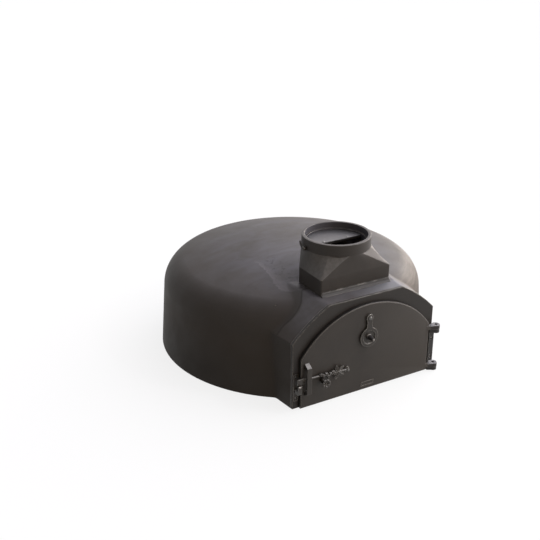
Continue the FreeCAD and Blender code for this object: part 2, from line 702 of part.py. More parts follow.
def make_damper_lever():
    """Hub on the shaft's end with a finger that curls up at its tip."""
    hub = damper_line(LEVER_X, LEVER_X + LEVER_T, LEVER_HUB_R)
    start = V(LEVER_X, DAMPER_Y, DAMPER_Z)
    bend = V(LEVER_X, DAMPER_Y + LEVER_BEND_REACH, DAMPER_Z + LEVER_BEND_RISE)
    tip = V(LEVER_X, DAMPER_Y + LEVER_REACH, DAMPER_Z + LEVER_RISE)
    spine = Part.Arc(start, bend, tip)
    left = []
    right = []
    for share in (0.0, 0.5, 1.0):
        at = spine.FirstParameter + share * (spine.LastParameter - spine.FirstParameter)
        point = spine.value(at)
        side = spine.tangent(at)[0].cross(X_AXIS)
        half = (LEVER_ARM_W + share * (LEVER_TIP_W - LEVER_ARM_W)) / 2
        left.append(point + side * half)
        right.append(point - side * half)
    edges = [
        Part.Arc(*left).toShape(),
        Part.makeLine(left[2], right[2]),
        Part.Arc(*right[::-1]).toShape(),
        Part.makeLine(right[0], left[0]),
    ]
    finger = Part.Face(Part.Wire(edges)).extrude(V(LEVER_T, 0, 0))
    knob = rod(tip, tip + V(LEVER_T, 0, 0), LEVER_KNOB_R)
    lever = hub.fuse(finger).fuse(knob).removeSplitter()
    return lever.cut(damper_line(LEVER_X - OVERSHOOT, LEVER_X + LEVER_T + OVERSHOOT, DAMPER_SHAFT_R))


def lug(radius, arm, z0, height):
    """Hinge knuckle round the pin's line with an arm in plan, and no bore yet."""
    eye = rod(HINGE + V(0, 0, z0), HINGE + V(0, 0, z0 + height), radius)
    return eye.fuse(polygon_prism([V(x, y, z0) for x, y in arm], V(0, 0, height))).removeSplitter()


def pin_bore(radius, z0, z1):
    return rod(HINGE + V(0, 0, z0), HINGE + V(0, 0, z1), radius)


def make_door():
    door = door_outline(0, DOOR_BOTTOM_Z, DOOR_FRONT_Y, DOOR_BACK_Y)
    rim = [e for e in door.Edges if e.BoundBox.YMax < DOOR_FRONT_Y + TOUCH]
    door = door.makeChamfer(DOOR_CHAMFER, rim)
    seat = DOOR_OVERLAP - DOOR_CHAMFER - LIP_W
    lip_bottom = DOOR_BOTTOM_Z + seat
    lip = door_outline(seat, lip_bottom, DOOR_BACK_Y, DOOR_BACK_Y + DOOR_LIP)
    lip = lip.cut(door_outline(seat + LIP_W, lip_bottom + LIP_W, DOOR_BACK_Y - OVERSHOOT, FACADE_Y))
    door = door.fuse(lip)
    face = DOOR_FRONT_Y + DOOR_CHAMFER
    back = FACADE_Y - BRACKET_WEB_T - ARM_CLEARANCE
    front_of_pin = HINGE_Y - DOOR_LUG_R
    arm = [
        (DOOR_HALF_W - ARM_ROOT, face),
        (HINGE_X - ARM_NECK, front_of_pin + ARM_SLOPE),
        (HINGE_X, front_of_pin),
        (HINGE_X, HINGE_Y + DOOR_LUG_R),
        (HINGE_X - ARM_NECK, back),
        (DOOR_HALF_W - ARM_SINK, back),
        (DOOR_HALF_W - ARM_SINK, face),
    ]
    for z in (LOWER_DOOR_LUG_Z, UPPER_DOOR_LUG_Z):
        door = door.fuse(lug(DOOR_LUG_R, arm, z, DOOR_LUG_H))
        door = door.cut(pin_bore(PIN_R + RUNNING_FIT, z - OVERSHOOT, z + DOOR_LUG_H + OVERSHOOT))
    boss_end = DOOR_FRONT_Y + OVERSHOOT
    boss = through_y(LATCH_PIVOT_X, LATCH_PIVOT_Z, LATCH_EYE_BACK_Y + SLIP, boss_end, LATCH_EYE_R)
    door = door.fuse(boss).removeSplitter()
    door = door.cut(through_y(LATCH_PIVOT_X, LATCH_PIVOT_Z, LATCH_EYE_BACK_Y, DOOR_BACK_Y, LATCH_PIN_R))
    door = door.cut(through_y(0, VENT_PIVOT_Z, DOOR_FRONT_Y, DOOR_BACK_Y, RIVET_R))
    door = door.cut(through_y(0, VENT_DISC_Z, DOOR_FRONT_Y - OVERSHOOT, DOOR_BACK_Y + OVERSHOOT, PORT_R))
    return cut_all(door, [guide_screw(place) for place in guide_screw_places()])


def make_hinge_bracket():
    """Cast bar on the frame that carries the two pins, one below each door lug."""
    x1 = BRACKET_X0 + BRACKET_W
    top = UPPER_LUG_Z
    web_x1 = BRACKET_X0 + BRACKET_WEB_W
    bar_top = UPPER_LUG_Z - DOOR_LUG_H
    web = block(BRACKET_X0, web_x1, FACADE_Y - BRACKET_WEB_T, FACADE_Y, LUG_GAP, top)
    bar = block(BRACKET_X0, x1, HINGE_Y, FACADE_Y, bar_top - BRACKET_H, bar_top)
    arm = [
        (BRACKET_X0, FACADE_Y),
        (BRACKET_X0, HINGE_Y),
        (HINGE_X, HINGE_Y - BRACKET_LUG_R),
        (HINGE_X, HINGE_Y + BRACKET_LUG_R),
        (web_x1, FACADE_Y),
    ]
    bracket = web.fuse(bar)
    for z1 in (LOWER_LUG_Z, UPPER_LUG_Z):
        height = min(DOOR_LUG_H, z1 - LUG_GAP)
        bracket = bracket.fuse(lug(BRACKET_LUG_R, arm, z1 - height, height))
        bracket = bracket.cut(pin_bore(PIN_R, z1 - height - OVERSHOOT, z1 + OVERSHOOT))
    seats = [counterbore(place, HINGE_Y) for place in bracket_screw_places()]
    return cut_all(bracket, seats).removeSplitter()


def make_hinge_pins():
    pins = []
    for z1 in (LOWER_LUG_Z, UPPER_LUG_Z):
        height = min(DOOR_LUG_H, z1 - LUG_GAP)
        pin = pin_bore(PIN_R, z1 - height, z1 + LUG_GAP + DOOR_LUG_H - PIN_RECESS)
        tip = [e for e in pin.Edges if e.BoundBox.ZMin > z1]
        pins.append(pin.makeChamfer(PIN_CHAMFER, tip))
    return Part.makeCompound(pins)


def bracket_screw_places():
    middle = UPPER_LUG_Z - DOOR_LUG_H - BRACKET_H / 2
    x = BRACKET_X0 + BRACKET_W / 2
    return [V(x, 0, middle + side * BRACKET_SCREW_PITCH / 2) for side in (-1, 1)]


def keeper_screw_places():
    x = KEEPER_X0 + KEEPER_W / 2
    top_z = KEEPER_BOTTOM_Z + KEEPER_H
    return [V(x, 0, KEEPER_BOTTOM_Z + KEEPER_SCREW_INSET), V(x, 0, top_z - KEEPER_SCREW_INSET)]


def counterbore(place, face_y):
    """Screw hole into the frame with a seat for the head just below a front face."""
    seat = face_y + SCREW_HEAD_H
    head = through_y(place.x, place.z, face_y - OVERSHOOT, seat, SCREW_HEAD_R + SLIP)
    return head.fuse(through_y(place.x, place.z, seat, FACADE_Y, SCREW_R))


def frame_screw(place, face_y):
    """Cheese-head screw with a driver slot, tapped into the frame."""
    seat = face_y + SCREW_HEAD_H
    crown = face_y + SCREW_SINK
    screw = through_y(place.x, place.z, crown, seat, SCREW_HEAD_R)
    screw = screw.fuse(through_y(place.x, place.z, seat, FACADE_Y + SCREW_GRIP, SCREW_R))
    x0 = place.x - SCREW_HEAD_R
    z0 = place.z - SCREW_SLOT_W / 2
    slot = block(x0, x0 + 2 * SCREW_HEAD_R, crown, crown + SCREW_SLOT_DEPTH, z0, z0 + SCREW_SLOT_W)
    return screw.removeSplitter().cut(slot)


def make_latch_keeper():
    """Plate on the frame with a nose that the latch bar drops behind."""
    face = FACADE_Y - KEEPER_T
    x1 = KEEPER_X0 + KEEPER_W
    plate = block(KEEPER_X0, x1, face, FACADE_Y, KEEPER_BOTTOM_Z, KEEPER_BOTTOM_Z + KEEPER_H)
    corners = [e for e in plate.Edges if abs(e.BoundBox.YLength - KEEPER_T) < TOUCH]
    plate = plate.makeFillet(KEEPER_CORNER_R, corners)
    nose_back = LATCH_MID_Y - TONGUE_T / 2 - NOSE_GAP
    nose_front = nose_back - NOSE_T
    root = FACADE_Y - OVERSHOOT
    nose_x0 = KEEPER_X0 + (KEEPER_W - NOSE_W) / 2
    low = NOSE_FLOOR_Z - NOSE_WEB_H
    profile = [
        (root, low),
        (nose_back, low),
        (nose_front, NOSE_FLOOR_Z),
        (nose_front + NOSE_TAPER, NOSE_TIP_Z),
        (nose_back - NOSE_TAPER, NOSE_TIP_Z),
        (nose_back, NOSE_FLOOR_Z),
        (root, NOSE_FLOOR_Z),
    ]
    nose = polygon_prism([V(nose_x0, y, z) for y, z in profile], V(NOSE_W, 0, 0))
    keeper = plate.fuse(nose).removeSplitter()
    return cut_all(keeper, [counterbore(place, face) for place in keeper_screw_places()])


def guide_screw_places():
    top_z = GUIDE_BOTTOM_Z + GUIDE_H
    return [V(GUIDE_X, 0, GUIDE_BOTTOM_Z + GUIDE_FOOT / 2), V(GUIDE_X, 0, top_z - GUIDE_FOOT / 2)]


def guide_screw(place):
    """Countersunk screw from behind the door into one foot of the guide."""
    shank = through_y(place.x, place.z, DOOR_FRONT_Y - SCREW_GRIP, DOOR_BACK_Y, SCREW_R)
    neck = V(place.x, DOOR_BACK_Y - SCREW_HEAD_H, place.z)
    cone = Part.makeCone(SCREW_R, SCREW_HEAD_R, SCREW_HEAD_H, neck, Y_AXIS)
    return shank.fuse(cone).removeSplitter()


def make_latch_guide():
    """Bridge over the latch bar, with sloped ends, that limits its lift."""
    out = DOOR_FRONT_Y - GUIDE_STANDOFF
    inner = out + GUIDE_T
    top = GUIDE_BOTTOM_Z + GUIDE_H
    profile = [
        (DOOR_FRONT_Y, GUIDE_BOTTOM_Z),
        (out, GUIDE_BOTTOM_Z + GUIDE_SLOPE),
        (out, top - GUIDE_SLOPE),
        (DOOR_FRONT_Y, top),
        (DOOR_FRONT_Y, top - GUIDE_FOOT),
        (inner, top - GUIDE_FOOT),
        (inner, GUIDE_BOTTOM_Z + GUIDE_FOOT),
        (DOOR_FRONT_Y, GUIDE_BOTTOM_Z + GUIDE_FOOT),
    ]
    bridge = polygon_prism([V(GUIDE_X - GUIDE_W / 2, y, z) for y, z in profile], V(GUIDE_W, 0, 0))
    return cut_all(bridge, [guide_screw(place) for place in guide_screw_places()])


def vine_leaf():
    """Lobed leaf in front of the bar: pointed lobes with rounded flanks."""
    y = LATCH_EYE_FRONT_Y
    centre = V(LEAF_X, y, latch_line_z(LEAF_X))
    step = 2 * math.pi / LEAF_LOBES

    def at(radius, angle):
        return centre + V(radius * math.cos(angle), 0, radius * math.sin(angle))

    edges = []
    for lobe in range(LEAF_LOBES):
        tip = math.pi - lobe * step
        belly = LEAF_BELLY_TURN * step
        start = at(LEAF_WAIST * LEAF_R, tip + step / 2)
        end = at(LEAF_WAIST * LEAF_R, tip - step / 2)
        edges.append(Part.Arc(start, at(LEAF_BELLY * LEAF_R, tip + belly), at(LEAF_R, tip)).toShape())
        edges.append(Part.Arc(at(LEAF_R, tip), at(LEAF_BELLY * LEAF_R, tip - belly), end).toShape())
    return Part.Face(Part.Wire(edges)).extrude(V(0, LEAF_T, 0))


def latch_line_z(x):
    """Height of the latch bar's centre line."""
    share = (x - LATCH_PIVOT_X) / (LATCH_ROD_X - LATCH_PIVOT_X)
    return LATCH_PIVOT_Z + share * (LATCH_ROD_Z - LATCH_PIVOT_Z)


def berries():
    """Round buds in a wavy row on the bar, between the leaf and the rosette."""
    buds = []
    for place in range(BERRY_COUNT):
        x = BERRY_X - place * BERRY_PITCH
        z = latch_line_z(x) + BERRY_LIFTS[place % 2]
        buds.append(Part.makeSphere(BERRY_R, V(x, LATCH_MID_Y, z), V(0, 1, 0)))
    return buds


def rosette():
    """Finger knob below the bar: a stem towards the front that ends in a ring of petals round a bud."""
    bar_z = latch_line_z(ROSETTE_X)
    z = bar_z - ROSETTE_DROP
    front = LATCH_EYE_BACK_Y - ROSETTE_DEPTH
    stalk = rod(V(ROSETTE_X, LATCH_MID_Y, bar_z), V(ROSETTE_X, LATCH_MID_Y, z), STALK_R)
    knob = [stalk, through_y(ROSETTE_X, z, front, LATCH_EYE_BACK_Y, ROSETTE_STEM_R)]
    knob.append(Part.makeSphere(PETAL_R, V(ROSETTE_X, front, z), V(0, 1, 0)))
    petal = Part.makeSphere(PETAL_R, V(ROSETTE_X + PETAL_RING_R, front, z), V(0, 1, 0))
    for place in range(PETALS):
        knob.append(petal.rotated(V(ROSETTE_X, front, z), V(0, 1, 0), 360 / PETALS * place))
    return knob


def make_latch_lever():
    eye = through_y(LATCH_PIVOT_X, LATCH_PIVOT_Z, LATCH_EYE_FRONT_Y, LATCH_EYE_BACK_Y, LATCH_EYE_R)
    start = V(LATCH_PIVOT_X, LATCH_MID_Y, LATCH_PIVOT_Z)
    end = V(LATCH_ROD_X, LATCH_MID_Y, LATCH_ROD_Z)
    lever = eye.fuse(rod(start, end, LATCH_ROD_R))
    y0 = LATCH_MID_Y - TONGUE_T / 2
    tongue_top_z = TONGUE_BOTTOM_Z + TONGUE_H
    tongue = block(TONGUE_X, TONGUE_X + TONGUE_L, y0, y0 + TONGUE_T, TONGUE_BOTTOM_Z, tongue_top_z)
    corners = [e for e in tongue.Edges if abs(e.BoundBox.YLength - TONGUE_T) < TOUCH]
    lever = lever.fuse(tongue.makeFillet(TONGUE_T / 2, corners))
    for ornament in [vine_leaf()] + berries() + rosette():
        lever = lever.fuse(ornament)
    bore_y0 = LATCH_EYE_FRONT_Y - OVERSHOOT
    bore_y1 = LATCH_EYE_BACK_Y + OVERSHOOT
    return lever.cut(through_y(LATCH_PIVOT_X, LATCH_PIVOT_Z, bore_y0, bore_y1, LATCH_PIN_R + RUNNING_FIT))


def domed_head(x, z, y, radius, height):
    """Round head whose crown stands out towards -Y."""
    sphere_r = (radius ** 2 + height ** 2) / (2 * height)
    ball = Part.makeSphere(sphere_r, V(x, y - height + sphere_r, z))
    return ball.common(through_y(x, z, y - height - OVERSHOOT, y, radius + OVERSHOOT))


def make_latch_pivot():
    face = LATCH_EYE_FRONT_Y - SLIP
    head = domed_head(LATCH_PIVOT_X, LATCH_PIVOT_Z, face, LATCH_HEAD_R, LATCH_HEAD_H)
    shank = through_y(LATCH_PIVOT_X, LATCH_PIVOT_Z, face, DOOR_BACK_Y, LATCH_PIN_R)
    return head.fuse(shank).removeSplitter()


def keyhole_outline(y):
    """Vent cover's outline: disc, hollow-rounded flanks, straight neck and a small lobe at the pivot."""
    half_w = VENT_NECK_HALF_W
    flank_x = half_w + VENT_NECK_R
    flank_z = math.sqrt((VENT_R + VENT_NECK_R) ** 2 - flank_x ** 2)
    lobe_z = VENT_DROP - math.sqrt(VENT_LOBE_R ** 2 - half_w ** 2)
    share = VENT_R / (VENT_R + VENT_NECK_R)
    half_turn = math.atan2(flank_z, flank_x) / 2

    def at(x, z):
        return V(x, y, VENT_DISC_Z + z)

    def flank(side):
        low = at(side * flank_x * share, flank_z * share)
        middle_x = flank_x - VENT_NECK_R * math.cos(half_turn)
        middle = at(side * middle_x, flank_z - VENT_NECK_R * math.sin(half_turn))
        return low, middle, at(side * half_w, flank_z)

    right = flank(1)
    left = flank(-1)
    top_right = at(half_w, lobe_z)
    top_left = at(-half_w, lobe_z)
    edges = [
        Part.Arc(*right).toShape(),
        Part.makeLine(right[2], top_right),
        Part.Arc(top_right, at(0, VENT_DROP + VENT_LOBE_R), top_left).toShape(),
        Part.makeLine(top_left, left[2]),
        Part.Arc(*left[::-1]).toShape(),
        Part.Arc(left[0], at(0, -VENT_R), right[0]).toShape(),
    ]
    return Part.Wire(edges)


def make_vent_cover():
    """Keyhole plate with a dished face and a bore for its rivet."""
    cover = Part.Face(keyhole_outline(VENT_FRONT_Y)).extrude(V(0, VENT_T, 0))
    y0 = VENT_FRONT_Y - OVERSHOOT
    dish = through_y(0, VENT_DISC_Z, y0, VENT_FRONT_Y + VENT_DISH_DEPTH, VENT_DISH_R)
    bore = through_y(0, VENT_PIVOT_Z, y0, VENT_BACK_Y + OVERSHOOT, RIVET_R + RUNNING_FIT)
    return cover.cut(dish).cut(bore)


def make_vent_knob():
    seat = VENT_FRONT_Y + VENT_DISH_DEPTH
    knob = through_y(0, VENT_DISC_Z, seat - KNOB_L, seat, KNOB_R)
    tip = [e for e in knob.Edges if e.BoundBox.YMax < seat - KNOB_L + TOUCH]
    return knob.makeFillet(KNOB_EDGE_R, tip)


def make_vent_rivet():
    face = VENT_FRONT_Y - SLIP
    head = domed_head(0, VENT_PIVOT_Z, face, RIVET_HEAD_R, RIVET_HEAD_H)
    return head.fuse(through_y(0, VENT_PIVOT_Z, face, DOOR_BACK_Y, RIVET_R)).removeSplitter()


outside = casing_outside()
vault_right, vault_left = make_vault_halves()
bracket_screws = [frame_screw(place, HINGE_Y) for place in bracket_screw_places()]
keeper_screws = [frame_screw(place, FACADE_Y - KEEPER_T) for place in keeper_screw_places()]
pieces = {
    "base_plate": make_base_plate(),
    "floor_board": floor_field(0, BASE_T, BOARD_Z),
    "hearth_tiles": make_hearth_tiles(),
    "mouth_tile": make_mouth_tile(),
    "landing_slab": make_landing_slab(),
    "vault_left": vault_left,
    "vault_right": vault_right,
    "vestibule_arch": make_vestibule_arch(),
    "insulation_blanket": make_blanket(),
    "outer_casing": make_casing(outside),
    "front_frame": make_front_frame(),
    "flue_hood": make_flue_hood(outside),
    "hood_seam": make_hood_seam(outside),
    "hinge_bracket": make_hinge_bracket(),
    "hinge_pins": make_hinge_pins(),
    "hinge_screws": Part.makeCompound(bracket_screws),
    "latch_keeper": make_latch_keeper(),
    "keeper_screws": Part.makeCompound(keeper_screws),
    "door_panel": make_door(),
    "latch_guide": make_latch_guide(),
    "guide_screws": Part.makeCompound([guide_screw(place) for place in guide_screw_places()]),
    "latch_pivot": make_latch_pivot(),
    "vent_rivet": make_vent_rivet(),
    "latch_lever": make_latch_lever(),
    "vent_cover": make_vent_cover(),
    "vent_knob": make_vent_knob(),
    "damper_flap": make_damper_flap(),
    "damper_shaft": make_damper_shaft(),
    "damper_lever": make_damper_lever(),
    "damper_screws": make_damper_screws(),
}
os.makedirs("parts", exist_ok=True)
for node, shape in pieces.items():
    shape.exportStep(f"parts/{node}.step")
    box = shape.BoundBox
    print(f"{node:20s} solids {len(shape.Solids)} valid {shape.isValid()} volume {shape.Volume:.0f} mm3")
    print(f"  size {box.XLength:.1f} {box.YLength:.1f} {box.ZLength:.1f} from z {box.ZMin:.1f}")
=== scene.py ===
# Wood-fired dome pizza oven: a painted steel casing over a refractory vault, with an arched cast-iron door
# and a square-to-round flue hood. Metres, +Z up, the door faces -Y.
import json
import math
from functools import partial

import bmesh
import bpy
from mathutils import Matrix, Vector

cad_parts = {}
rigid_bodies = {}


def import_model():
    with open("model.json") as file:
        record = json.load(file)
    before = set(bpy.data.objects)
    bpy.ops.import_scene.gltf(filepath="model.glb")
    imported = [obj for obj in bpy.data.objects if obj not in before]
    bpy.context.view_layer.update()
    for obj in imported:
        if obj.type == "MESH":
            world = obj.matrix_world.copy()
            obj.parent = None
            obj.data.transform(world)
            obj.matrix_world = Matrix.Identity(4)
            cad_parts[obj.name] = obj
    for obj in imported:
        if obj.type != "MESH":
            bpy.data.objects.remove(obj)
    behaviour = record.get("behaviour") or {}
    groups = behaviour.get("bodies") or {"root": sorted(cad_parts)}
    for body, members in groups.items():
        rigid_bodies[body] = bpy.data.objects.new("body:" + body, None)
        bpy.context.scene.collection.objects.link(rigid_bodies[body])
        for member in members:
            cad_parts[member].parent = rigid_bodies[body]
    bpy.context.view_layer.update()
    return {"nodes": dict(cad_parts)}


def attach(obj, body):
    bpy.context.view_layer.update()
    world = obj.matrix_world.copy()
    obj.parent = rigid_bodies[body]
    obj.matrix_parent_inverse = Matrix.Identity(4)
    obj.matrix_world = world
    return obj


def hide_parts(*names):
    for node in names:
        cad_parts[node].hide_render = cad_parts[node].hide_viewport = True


for leftover in list(bpy.data.objects):
    bpy.data.objects.remove(leftover)
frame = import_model()
nodes = frame["nodes"]

# Base plate: 3 mm mild steel sheet, cut to the oven's outline and left with its blue-grey mill scale.
# It carries the floor board and the casing is tacked to its rim.


def feed(made, inputs):
    """Fills a node's inputs with values or links."""
    for key, value in inputs.items():
        if isinstance(value, bpy.types.NodeSocket):
            made.id_data.links.new(value, made.inputs[key])
        else:
            made.inputs[key].default_value = value


def node(tree, kind, inputs=None, **settings):
    """Adds a node, sets its settings, then fills its inputs."""
    made = tree.nodes.new(kind)
    for key, value in settings.items():
        setattr(made, key, value)
    feed(made, inputs or {})
    return made


def get(tree, kind, inputs=None, key=0, **settings):
    """Adds a node and gives one of its outputs."""
    return node(tree, kind, inputs, **settings).outputs[key]


def use(tree, group, inputs):
    """Adds a shader group and gives its outputs."""
    return node(tree, "ShaderNodeGroup", inputs, node_tree=group).outputs


def tree_of(*values):
    """The node tree of the first socket among some values."""
    return next(value.id_data for value in values if isinstance(value, bpy.types.NodeSocket))


def calc(operation, first, second=0.0):
    """One step of arithmetic."""
    inputs = {0: first, 1: second}
    return get(tree_of(first, second), "ShaderNodeMath", inputs, operation=operation)


def times(*values):
    """Masks and strengths multiplied together."""
    product = values[0]
    for value in values[1:]:
        product = calc("MULTIPLY", product, value)
    return product


def vector_calc(operation, first, second=(0.0, 0.0, 0.0)):
    """One step of vector arithmetic, which gives a number for a dot product, a distance or a length."""
    made = node(tree_of(first), "ShaderNodeVectorMath", {0: first, 1: second}, operation=operation)
    return made.outputs["Value" if operation in ("DOT_PRODUCT", "DISTANCE", "LENGTH") else "Vector"]


def axes_of(vector):
    """A vector's X, Y and Z."""
    return node(tree_of(vector), "ShaderNodeSeparateXYZ", {0: vector}).outputs


def facing(tree):
    """The way that the surface faces."""
    return get(tree, "ShaderNodeTexCoord", key="Normal")


def ranged(value, low, high, low_out=0.0, high_out=1.0):
    """A value mapped from one range to another, and held at the ends."""
    inputs = {"Value": value, "From Min": low, "From Max": high, "To Min": low_out, "To Max": high_out}
    return get(tree_of(value), "ShaderNodeMapRange", inputs)


def mixed(factor, first, second, mode="MIX"):
    """Two colours mixed by a mask."""
    made = node(tree_of(factor), "ShaderNodeMix", {0: factor}, data_type="RGBA", blend_type=mode)
    for index, value in ((6, first), (7, second)):
        feed(made, {index: value if isinstance(value, bpy.types.NodeSocket) else (*value, 1.0)})
    return made.outputs[2]


def object_place(tree, scale=(1.0, 1.0, 1.0)):
    """Object coordinates, stretched where a pattern runs along one direction."""
    place = get(tree, "ShaderNodeTexCoord", key="Object")
    if tuple(scale) == (1.0, 1.0, 1.0):
        return place
    return get(tree, "ShaderNodeMapping", {"Vector": place, "Scale": scale})


def noise(place, scale, detail=2.0, rough=0.5, distortion=0.0):
    """Cloudy noise between 0 and 1."""
    inputs = {"Vector": place, "Scale": scale, "Detail": detail, "Roughness": rough, "Distortion": distortion}
    return get(tree_of(place), "ShaderNodeTexNoise", inputs, key="Fac")


def openness(tree, reach):
    """1 where the piece's surface lies open, less in its hollows."""
    inputs = {"Distance": reach}
    return get(tree, "ShaderNodeAmbientOcclusion", inputs, key="AO", only_local=True, samples=6)


def add_socket(tree, name, kind="Float", way="INPUT"):
    """Adds an input or an output to a node group."""
    return tree.interface.new_socket(name=name, in_out=way, socket_type="NodeSocket" + kind)


def new_group(name, inputs, outputs):
    """Starts a shader group with named number inputs and outputs."""
    tree = bpy.data.node_groups.new(name, "ShaderNodeTree")
    for key, value in inputs.items():
        add_socket(tree, key).default_value = value
    for key in outputs:
        add_socket(tree, key, "Vector" if key.endswith("Normal") else "Float", "OUTPUT")
    return tree, tree.nodes.new("NodeGroupInput").outputs, tree.nodes.new("NodeGroupOutput").inputs


wear_inputs = {"Width": 0.002, "Patch Scale": 60.0, "Cover": 0.5}
worn_edges, given, gives = new_group("worn_edges", wear_inputs, ["Wear", "Eased Normal"])
flat_normal = get(worn_edges, "ShaderNodeNewGeometry", key="Normal")
eased_normal = get(worn_edges, "ShaderNodeBevel", {"Radius": given["Width"]}, samples=6)
agreement = vector_calc("DOT_PRODUCT", flat_normal, eased_normal)
at_edge = ranged(agreement, 0.985, 0.86)
outward = ranged(openness(worn_edges, 0.006), 0.70, 0.92)
patches = noise(object_place(worn_edges), given["Patch Scale"], 3.0)
patches = ranged(calc("ADD", patches, given["Cover"]), 0.86, 1.12)
worn_edges.links.new(times(at_edge, outward, patches), gives["Wear"])
worn_edges.links.new(eased_normal, gives["Eased Normal"])

skin_inputs = {"Grain Scale": 700.0, "Swell Scale": 40.0}
cast_skin, given, gives = new_group("cast_skin", skin_inputs, ["Height", "Tone"])
sand = noise(object_place(cast_skin), given["Grain Scale"], 3.0, 0.6)
swell = noise(object_place(cast_skin), given["Swell Scale"], 3.0)
cast_skin.links.new(calc("ADD", times(sand, 0.55), swell), gives["Height"])
cast_skin.links.new(noise(object_place(cast_skin), 11.0, 5.0, 0.6, 0.4), gives["Tone"])

settled_dust, given, gives = new_group("settled_dust", {"Patch Scale": 14.0}, ["Dust"])
level = ranged(axes_of(facing(settled_dust))["Z"], 0.45, 1.0)
clouds = noise(object_place(settled_dust), given["Patch Scale"], 6.0, 0.62)
lying = times(level, ranged(clouds, 0.34, 0.7))
settled_dust.links.new(lying, gives["Dust"])


def new_finish(name):
    """Starts a material and returns it with its node tree and its shader."""
    finish = bpy.data.materials.new(name)
    finish.use_nodes = True
    return finish, finish.node_tree, finish.node_tree.nodes["Principled BSDF"]


def raise_surface(shader, height, depth, under=None):
    """Fine relief from a height mask, depth in metres, over the surface's own or an eased normal."""
    inputs = {"Strength": 1.0, "Distance": depth, "Height": height}
    if under:
        inputs["Normal"] = under
    feed(shader, {"Normal": get(shader.id_data, "ShaderNodeBump", inputs)})


def dress(finish, *names):
    """Gives CAD nodes their finish."""
    for name in names:
        for slot in nodes[name].material_slots:
            slot.material = finish


def rolled_steel(name, scale_colour, bright_colour, grain_axis):
    """Rolled sheet: mill scale with rubbed bright edges and faint rolling lines."""
    finish, tree, shader = new_finish(name)
    skin = use(tree, cast_skin, {"Grain Scale": 420.0, "Swell Scale": 18.0})
    wear = use(tree, worn_edges, {"Width": 0.0015, "Patch Scale": 80.0})
    lines = noise(object_place(tree, grain_axis), 60.0, 4.0, 0.6)
    cloud = ranged(skin["Tone"], 0.35, 0.7)
    body = mixed(cloud, scale_colour, [c * 1.55 for c in scale_colour])
    body = mixed(wear["Wear"], body, bright_colour)
    feed(shader, {"Base Color": body, "Roughness": ranged(lines, 0.3, 0.7, 0.38, 0.56), "Metallic": 0.85})
    raise_surface(shader, calc("ADD", skin["Height"], lines), 0.00006)
    return finish


mill_scale = rolled_steel(
    "mill_scale_sheet", scale_colour=(0.115, 0.118, 0.125), bright_colour=(0.42, 0.41, 0.40),
    grain_axis=(1.0, 14.0, 1.0),
)
dress(mill_scale, "base_plate")

# Floor board and firebrick tiles: a calcium silicate board with dry-pressed fireclay tiles laid on it.
# The tiles are buff, with dark iron spots and pale grog, and their arrises are slightly rounded.
WOOD_ASH = (0.34, 0.32, 0.30)
TILE_ARRIS = 0.0018
MERGE_GAP = 2e-6
FLAT_DEG = 0.6
ARRIS_DEG = 28.0
SHARP_DEG = 40.0


def pressed_fireclay(name, clay, pale, spot):
    """Buff fireclay with grog, iron spots, pin holes and a little ash in the surface."""
    finish, tree, shader = new_finish(name)
    place = object_place(tree)
    grog = get(tree, "ShaderNodeTexVoronoi", {"Vector": place, "Scale": 260.0}, key="Distance")
    iron = get(tree, "ShaderNodeTexVoronoi", {"Vector": place, "Scale": 95.0}, key="Distance")
    cloud = noise(place, 13.0, 5.0, 0.6)
    pits = noise(place, 330.0, 3.0, 0.65)
    body = mixed(ranged(cloud, 0.32, 0.7), clay, [c * 0.78 for c in clay])
    body = mixed(ranged(grog, 0.20, 0.10), body, pale)
    body = mixed(ranged(iron, 0.13, 0.07), body, spot)
    dust = use(tree, settled_dust, {"Patch Scale": 9.0})["Dust"]
    body = mixed(times(dust, 0.35), body, WOOD_ASH)
    feed(shader, {
        "Base Color": body,
        "Roughness": ranged(pits, 0.3, 0.7, 0.82, 0.95),
        "Specular IOR Level": 0.3,
    })
    sunk = ranged(iron, 0.2, 0.05, 0.0, 0.4)
    raise_surface(shader, calc("SUBTRACT", pits, sunk), 0.0006)
    return finish


def put(name, data):
    """A new object in the scene."""
    piece = bpy.data.objects.new(name, data)
    bpy.context.scene.collection.objects.link(piece)
    return piece


def settle(piece):
    """Makes the shape that an object's modifiers give into its own mesh."""
    mesh = bpy.data.meshes.new_from_object(piece.evaluated_get(bpy.context.evaluated_depsgraph_get()))
    piece.modifiers.clear()
    piece.data = mesh
    mesh.name = piece.name


def soften(mesh):
    """Smooth shading that keeps sharp corners."""
    mesh.shade_smooth()
    mesh.set_sharp_from_angle(angle=math.radians(SHARP_DEG))


def smooth_copy(name, width, segments=2, reshape=None):
    """A copy of a CAD node with its sharp edges rounded over."""
    shape = bmesh.new()
    shape.from_mesh(nodes[name].data)
    bmesh.ops.remove_doubles(shape, verts=shape.verts, dist=MERGE_GAP)
    flat = math.radians(FLAT_DEG)
    bmesh.ops.dissolve_limit(shape, angle_limit=flat, verts=shape.verts, edges=shape.edges)
    for corner in shape.verts if reshape else ():
        corner.co = reshape(corner.co)
    plain = bpy.data.meshes.new(name + "_plain")
    shape.verts.index_update()
    faces = [[v.index for v in face.verts] for face in shape.faces]
    plain.from_pydata([v.co[:] for v in shape.verts], [], faces)
    shape.free()
    plain.shade_smooth()
    piece = put(name + "_eased", plain)
    bevel = piece.modifiers.new("arris", "BEVEL")
    bevel.width = width
    bevel.segments = segments
    bevel.limit_method = "ANGLE"
    bevel.angle_limit = math.radians(ARRIS_DEG)
    bevel.use_clamp_overlap = True
    bevel.miter_outer = "MITER_ARC"
    bevel.harden_normals = True
    settle(piece)
    return piece


def stand_in(piece, finish, body, slot, *names):
    """Puts a finished piece in the place of CAD nodes, on their body."""
    piece.data.materials.clear()
    piece.data.materials.append(finish)
    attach(piece, body)
    if names:
        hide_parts(*names)


